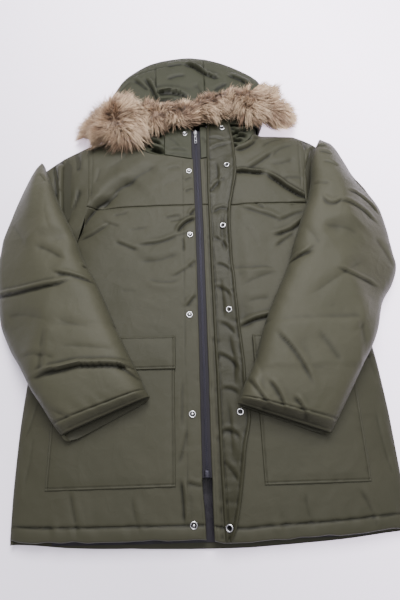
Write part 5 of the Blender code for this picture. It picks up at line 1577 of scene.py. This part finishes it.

# %% [markdown]
# ## Snaps
# Six ring studs on the left front and six sockets on the turned-back flap. Each is a turned profile, given
# as (radius, height) pairs, stood on its cloth's slope.

# %% Snaps
STUDS = Table(("y", "x"), [(-392, -22), (-223, -20), (-43, -21), (128, -16), (285, -15), (388, -22)])
SOCKETS = Table(("y", "x"), [(-397, 34), (-222, 62), (-37, 53), (144, 51), (293, 67), (397, 62)])
PROFILE_COLUMNS = ("step", "radius", "height", "painted_light")
# The last column is painted light: 1 keeps the full colour, low values paint shade in the recesses.
STUD_PROFILE = Table(PROFILE_COLUMNS, [
    (0, 0, 0.3, 1), (1, 5.9, 0.3, 1), (2, 6.2, 0.6, 0.5), (3, 6.2, 1.2, 0.8), (4, 5.9, 1.6, 1),
                                       (5, 5.3, 1.85, 1),
    (6, 4.7, 1.8, 0.9), (7, 4.1, 1.45, 0.3), (8, 3.6, 1.0, 0.04), (9, 3.0, 0.9, 0.03), (10, 2.6, 1.2, 0.05),
    (11, 2.4, 2.2, 0.15), (12, 2.45, 2.9, 0.5), (13, 2.25, 3.5, 0.8), (14, 1.8, 3.95, 1), (15, 1.1, 4.2, 1),
    (16, 0.5, 4.28, 1), (17, 0, 4.3, 1)])
SOCKET_PROFILE = Table(PROFILE_COLUMNS, [
    (0, 0, 0.3, 1), (1, 5.9, 0.3, 1), (2, 6.2, 0.7, 0.5), (3, 6.2, 1.3, 0.8), (4, 5.9, 1.9, 1),
                                         (5, 5.2, 2.35, 1),
    (6, 4.5, 2.4, 1), (7, 4.0, 2.2, 0.6), (8, 3.6, 1.8, 0.2), (9, 3.2, 1.2, 0.05), (10, 2.9, 0.8, 0.03),
    (11, 2.4, 0.65, 0.02), (12, 1.4, 0.6, 0.02), (13, 0, 0.6, 0.02)])


def flap_top(x, y):
    """Upper side of the turned-back storm flap."""
    u = (x - STORM.at("fold", y)) / (STORM.at("free", y) - STORM.at("fold", y))
    return front_form(x, y) + 0.6 + STORM.at("stand", y) * np.clip(u, 0, 1) ** 2 + FLAP_WALL


def turned_skin(profile, centre, normal, sides=32):
    """A profile turned about a normal through its centre: each row gives a ring of that radius and
    height, and its painted light as its second flat coordinate, low where shade is painted in the recesses."""
    painted_light = profile.data["painted_light"]
    profile = np.c_[profile.data["radius"], profile.data["height"]]
    normal = normal / np.linalg.norm(normal)
    u = np.cross([0, 1, 0], normal)
    u = u / np.linalg.norm(u)
    v = np.cross(normal, u)
    angle = np.linspace(0, 2 * math.pi, sides, endpoint=False)
    radial = np.cos(angle)[:, None] * u + np.sin(angle)[:, None] * v
    rings = centre + profile[1:-1, 1][:, None, None] * normal + profile[1:-1, 0][:, None, None] * radial
    n = len(rings)
    ends = np.array([centre + normal * profile[0, 1], centre + normal * profile[-1, 1]])
    skin = Skin()
    ring = np.arange(sides)
    tris = np.vstack([cap(ring, n * sides), cap((n - 1) * sides + ring, n * sides + 1, True)])
    quads = grid_quads(n, sides, 0, True)
    shade = np.concatenate([np.repeat(painted_light[1:-1], sides), painted_light[[0, -1]]])
    skin.add(np.vstack([rings.reshape(-1, 3), ends]), quads, np.stack([0 * quads, shade[quads]], -1),
             tris, np.stack([0 * tris, shade[tris]], -1))
    return skin


def slope_at(height, x, y, d=4.0):
    """The upward normal of a height function, from its differences over a few millimetres."""
    return np.array([-float(height(x + d, y) - height(x - d, y)) / (2 * d),
                     -float(height(x, y + d) - height(x, y - d)) / (2 * d), 1.0])


for table, word, profile, height in ((STUDS, "stud", STUD_PROFILE, front_form),
                                     (SOCKETS, "socket", SOCKET_PROFILE, flap_top)):
    for number, (y, x) in enumerate(table.rows(), 1):
        centre = np.array([x, y, float(height(x, y))])
        skin = turned_skin(profile, centre, slope_at(height, x, y))
        finish_piece(f"snap_{word}_ring_{number}", skin, SNAP_METAL, f"snap_{word}_{number}",
                     flat_angle=50)

# %% [markdown]
# ## Stitching
# Every seam is sewn with olive thread, darker than the cloth as painted shade along the stitch lines. A
# stitch is a tiny spindle with eight faces; they are laid end to end along lines on the skins, as one array
# per line.

# %% Stitches
STITCH_PITCH = 3.4


def stitch_line(skin, x, y, height, lift=0.25):
    """Stitches along a line of the plan, at even steps of its length, each a flat spindle on the surface."""
    z = height(x, y)
    points = np.c_[x, y, z]
    travelled = np.concatenate([[0], np.cumsum(np.linalg.norm(np.diff(points, axis=0), axis=1))])
    places = np.arange(STITCH_PITCH / 2, travelled[-1], STITCH_PITCH)
    at = np.stack([np.interp(places, travelled, points[:, i]) for i in range(3)], -1)
    ahead = np.stack([np.interp(places + 0.5, travelled, points[:, i]) for i in range(3)], -1)
    behind = np.stack([np.interp(places - 0.5, travelled, points[:, i]) for i in range(3)], -1)
    along = (ahead - behind) / np.linalg.norm(ahead - behind, axis=1, keepdims=True)
    across_stitch = np.cross([0, 0, 1.0], along)
    across_stitch /= np.linalg.norm(across_stitch, axis=1, keepdims=True)
    up = np.cross(along, across_stitch)
    at = at + up * lift
    corners = [along * 1.35, -along * 1.35, across_stitch * 0.32, -across_stitch * 0.32, up * 0.26,
               -up * 0.26]
    cloud = at[:, None] + np.stack(corners, 1)
    faces = np.array([(0, 2, 4), (2, 1, 4), (1, 3, 4), (3, 0, 4), (2, 0, 5), (1, 2, 5), (3, 1, 5), (0, 3, 5)])
    numbers = (faces[None] + 6 * np.arange(len(at))[:, None, None]).reshape(-1, 3)
    skin.add(cloud.reshape(-1, 3), None, None, numbers)


def straight(skin, x0, y0, x1, y1, height):
    """Stitches on a straight line."""
    t = np.linspace(0, 1, max(int(math.hypot(x1 - x0, y1 - y0) / 3), 4))
    stitch_line(skin, x0 + (x1 - x0) * t, y0 + (y1 - y0) * t, height)


body_thread = Skin()
for x0, y0, x1, y1 in ((-226, 196, -10, 196), (92, 196, 222, 196), (-29, 312, -31, -409),
                       (-228, 368, -221, 214),
                       (-221, 210, -240, 136), (231, 368, 224, 240), (14.5, 312, 14.5, -412)):
    straight(body_thread, x0, y0, x1, y1, front_skin)
hem_x = np.linspace(-306, -12, 150)
stitch_line(body_thread, hem_x, TOPS.at("front_hem", hem_x) + HEM_BAND, front_skin)
hem_x = np.linspace(16, 312, 150)
stitch_line(body_thread, hem_x, TOPS.at("front_hem", hem_x) + HEM_BAND, front_skin)
finish_piece("body_stitching", body_thread, THREAD_SHADED)


def patch_height(lift):
    """Height of a patch's stitches: the ground, the patch and the groove they lie in."""
    return lambda x, y: ground_height(x, y) + 0.5 + lift + POCKET_WALL - 0.75


pocket_thread = Skin()
for x0, x1, y0, y1, lift in ((-263, -50, -336, -92, 0.0), (95, 271, -338, -94, 0.0),
                             (-263, -48, -145, -84, FLAP_LIFT), (93, 271, -140, -86, FLAP_LIFT)):
    inset = 4.0
    height = patch_height(lift)
    straight(pocket_thread, x0 + inset, y0 + inset, x1 - inset, y0 + inset, height)
    straight(pocket_thread, x0 + inset, y0 + inset, x0 + inset, y1 - inset, height)
    straight(pocket_thread, x1 - inset, y0 + inset, x1 - inset, y1 - inset, height)
    if lift:
        straight(pocket_thread, x0 + inset, y1 - inset, x1 - inset, y1 - inset, height)
finish_piece("pocket_stitching", pocket_thread, THREAD_SHADED)

# %% [markdown]
# ## Fur
# The trim is a strip of long pile. A brown lump gives its bulk and dark roots, and thousands of tapered,
# bent locks grow from it. Neighbouring locks lean together into tufts and part along the middle of the
# band.

# %% Fur table and core
FUR = Table(("along", "x", "y", "half", "reach"), [
    (0, -250, 398, 22, 16), (0.05, -232, 412, 44, 36), (0.13, -198, 420, 58, 44), (0.22, -160, 420, 60, 46),
    (0.31, -120, 426, 40, 43), (0.42, -66, 429, 25, 40), (0.53, -14, 431, 23, 40), (0.64, 40, 443, 24, 40),
    (0.74, 90, 460, 29, 41), (0.83, 134, 454, 50, 43), (0.91, 176, 453, 54, 42), (0.96, 206, 442, 42, 34),
    (1, 222, 432, 22, 16)])
FUR_CUTS = (0.27, 0.80)


def fur_frame(k):
    """Centre, direction along the band and direction across it, at a share of its length."""
    d = 0.01
    dx = FUR.at("x", k + d) - FUR.at("x", k - d)
    dy = FUR.at("y", k + d) - FUR.at("y", k - d)
    length = np.hypot(dx, dy)
    return FUR.at("x", k), FUR.at("y", k), dx / length, dy / length


def fur_surface(k, angle, shrink):
    """A point of the fur's core: a low oval section across the band, drawn in by a share from its full
    reach."""
    x, y, dx, dy = fur_frame(k)
    side = np.cos(angle) * FUR.at("half", k) * shrink
    low = smooth(-1.3 * np.cos(angle)) * smooth((0.78 - k) / 0.1) * smooth(k / 0.06)
    side = side - low * (5 + 7 * smooth((0.34 - k) / 0.08))
    px, py = x - dy * side, y + dx * side
    base = rest_height(px, py, 62) + GAP
    reach = FUR.at("reach", k) * shrink
    rim = reach * 0.3
    up = np.sin(angle)
    height = np.where(up >= 0, rim + (reach - rim) * np.abs(up) ** 0.8, rim - rim * np.abs(up) ** 0.6)
    return px, py, base + height


def fur_core(skin, first, last, rows):
    """The core lump between two shares of the band's length, closed at both ends."""
    k = np.linspace(first, last, rows)[:, None]
    angle = np.linspace(0, 2 * math.pi, 28, endpoint=False)[None, :]
    x, y, z = fur_surface(k, angle, 0.72)
    z = z + 1.2 * swell(x, y, 12, 301)
    rings = grid(x, y, z)
    points = np.vstack([rings.reshape(-1, 3), [rings[0].mean(0)], [rings[-1].mean(0)]])
    ring = np.arange(28)
    tris = np.vstack([cap(ring, rows * 28), cap((rows - 1) * 28 + ring, rows * 28 + 1, True)])
    quads = grid_quads(rows, 28, 0, True)
    skin.add(points, quads, np.full((len(quads), 4, 2), (0.6, 0.12)), tris,
             np.full((len(tris), 3, 2), (0.6, 0.12)))


# %% Locks of fur
LOCK_SIDES = 3
LOCK_RINGS = 3


def fur_locks(skin, first, last, count, seed):
    """Locks that grow from the core: each starts on its surface, leans out across the band and along it,
    bends over under its weight, draws towards the tip of its tuft and tapers to a point."""
    rng = np.random.default_rng(seed)
    k = first + (last - first) * rng.random(count)
    angle = math.pi * (0.5 + 0.58 * (2 * rng.random(count) - 1))
    x, y, z = fur_surface(k, angle, 0.70)
    _, _, dx, dy = fur_frame(k)
    out = np.cos(angle)
    ends = np.clip((k - 0.5) * 2, -1, 1)
    sweep = 0.35 * (1 - np.abs(ends)) + np.sign(ends) * np.abs(ends) ** 2.2 * 1.0
    sweep = sweep + 0.95 * swell(x, y, 24, seed + 5)
    crossing = 0.7 * out + 0.75 * swell(x, y, 20, seed + 6) - 0.15 * (1 - np.abs(ends))
    lean = np.stack([dx * sweep - dy * crossing, dy * sweep + dx * crossing,
                     0.5 + 0.3 * rng.standard_normal(count)], -1)
    lean = lean / np.linalg.norm(lean, axis=1, keepdims=True)
    wide = FUR.at("half", k)
    length = (13 + 0.34 * wide) * (0.7 + 0.6 * rng.random(count))
    length = np.where(rng.random(count) < 0.07, length * 1.35, length)
    tuft = 9.0
    ti, tj = np.floor(x / tuft + 200), np.floor(y / tuft + 200)
    tuft_x = (ti - 200 + 0.5 + 0.4 * lattice(ti, tj, seed)) * tuft
    tuft_y = (tj - 200 + 0.5 + 0.4 * lattice(tj, ti, seed + 1)) * tuft
    gather = 0.35 + 0.3 * rng.random(count)
    patches = 0.42 * swell(x * 0.7, y * 1.3, 15, seed + 3) + 0.16 * lattice(ti, tj, seed + 2)
    tone = 0.46 + patches - 0.12 * (1 - np.abs(ends)) + 0.16 * rng.standard_normal(count)
    tone = np.clip(tone, 0.02, 0.98)
    bend_x, bend_y = 5.5 * swell(x, y, 12, seed + 8), 5.5 * swell(x, y, 12, seed + 9)
    s = np.linspace(0, 1, LOCK_RINGS + 1)
    root = np.stack([x, y, z], -1)
    spine = root[:, None] + lean[:, None] * (length[:, None] * s)[..., None]
    spine[..., 0] += (gather[:, None] * (tuft_x - x)[:, None] + bend_x[:, None]) * s**2
    spine[..., 1] += (gather[:, None] * (tuft_y - y)[:, None] + bend_y[:, None]) * s**2
    droop = length * (0.32 + 0.2 * rng.random(count)) * (0.6 + 0.4 * np.abs(out))
    spine[..., 2] -= droop[:, None] * s**2
    ground = rest_height(spine[..., 0], spine[..., 1], 62)
    spine[..., 2] = np.maximum(spine[..., 2], ground + 1.2 + 1.5 * s)
    spine[..., 2] = np.minimum(spine[..., 2], 92 + 2 * s)
    forward = np.gradient(spine, axis=1)
    forward /= np.linalg.norm(forward, axis=2, keepdims=True) + 1e-9
    side_axis = np.cross(forward, np.array([0.1, 0.2, 1.0]))
    side_axis /= np.linalg.norm(side_axis, axis=2, keepdims=True) + 1e-9
    top_axis = np.cross(side_axis, forward)
    thick = (0.5 + 0.35 * rng.random(count))[:, None] * (1 - s[:-1]) ** 0.7 * (0.75 + 0.25 * s[:-1])
    turn = 2 * math.pi * np.arange(LOCK_SIDES) / LOCK_SIDES
    ring = (np.cos(turn)[:, None] * side_axis[:, :-1, None] + 0.55 * np.sin(turn)[:, None] *
            top_axis[:, :-1, None])
    body = spine[:, :-1, None] + ring * thick[:, :, None, None]
    points = np.concatenate([body.reshape(count, -1, 3), spine[:, -1:]], 1)
    per = LOCK_RINGS * LOCK_SIDES + 1
    quads = grid_quads(LOCK_RINGS, LOCK_SIDES, 0, True)
    last_ring = (LOCK_RINGS - 1) * LOCK_SIDES + np.arange(LOCK_SIDES)
    tris = np.vstack([[[2, 1, 0]], cap(last_ring, per - 1, True)])
    along = np.append(np.repeat(s[:-1], LOCK_SIDES), 1.0)
    shift = (np.arange(count) * per)[:, None, None]
    quad_uv = np.stack([np.broadcast_to(tone[:, None, None], (count, *quads.shape)),
                        np.broadcast_to(along[quads][None], (count, *quads.shape))], -1).reshape(-1, 4, 2)
    tri_uv = np.stack([np.broadcast_to(tone[:, None, None], (count, *tris.shape)),
                       np.broadcast_to(along[tris][None], (count, *tris.shape))], -1).reshape(-1, 3, 2)
    skin.add(points.reshape(-1, 3), (quads[None] + shift).reshape(-1, 4), quad_uv,
             (tris[None] + shift).reshape(-1, 3), tri_uv)


def fur_finish():
    """Fur colour from the lock's own coordinates: dark brown at the root, tan along it and pale at the
    tip, with a brown tip on the darker locks; the first coordinate is the lock's tone."""
    material = bpy.data.materials.new("tan fur")
    material.use_nodes = True
    tree = material.node_tree
    shader = tree.nodes["Principled BSDF"]
    flat = node(tree, "ShaderNodeUVMap", uv_map="cloth")
    split = node(tree, "ShaderNodeSeparateXYZ")
    tree.links.new(flat.outputs["UV"], split.inputs[0])
    pale = node(tree, "ShaderNodeValToRGB")
    dark = node(tree, "ShaderNodeValToRGB")
    stops = ((pale, ((0.0, (0.05, 0.028, 0.017)), (0.2, (0.20, 0.122, 0.07)), (0.5, (0.50, 0.35, 0.215)),
                     (1.0, (0.72, 0.57, 0.40)))),
             (dark, ((0.0, (0.025, 0.013, 0.009)), (0.3, (0.09, 0.05, 0.03)), (0.7, (0.27, 0.17, 0.105)),
                     (1.0, (0.12, 0.07, 0.045)))))
    for ramp, colours in stops:
        while len(ramp.color_ramp.elements) < len(colours):
            ramp.color_ramp.elements.new(0.5)
        for element, (place, colour) in zip(ramp.color_ramp.elements, colours):
            element.position = place
            element.color = (*colour, 1)
        tree.links.new(split.outputs["Y"], ramp.inputs["Fac"])
    mix = node(tree, "ShaderNodeMix", data_type="RGBA")
    tone = node(tree, "ShaderNodeMapRange")
    tone.inputs["From Min"].default_value = 0.15
    tone.inputs["From Max"].default_value = 0.62
    tree.links.new(split.outputs["X"], tone.inputs["Value"])
    tree.links.new(tone.outputs["Result"], mix.inputs["Factor"])
    tree.links.new(dark.outputs["Color"], mix.inputs["A"])
    tree.links.new(pale.outputs["Color"], mix.inputs["B"])
    tree.links.new(mix.outputs["Result"], shader.inputs["Base Color"])
    shader.inputs["Roughness"].default_value = 0.62
    shader.inputs["Sheen Weight"].default_value = 0.2
    shader.inputs["Specular IOR Level"].default_value = 0.3
    return material


FUR_COAT = fur_finish()
for name, first, last, rows, count, seed in (("fur_left", 0, FUR_CUTS[0], 26, 7400, 1),
                                             ("fur_top", FUR_CUTS[0], FUR_CUTS[1], 40, 6600, 2),
                                             ("fur_right", FUR_CUTS[1], 1, 22, 6000, 3)):
    skin = Skin()
    fur_core(skin, first, last, rows)
    fur_locks(skin, first, last, count, seed)
    finish_piece(name + "_pile", skin, FUR_COAT, name)
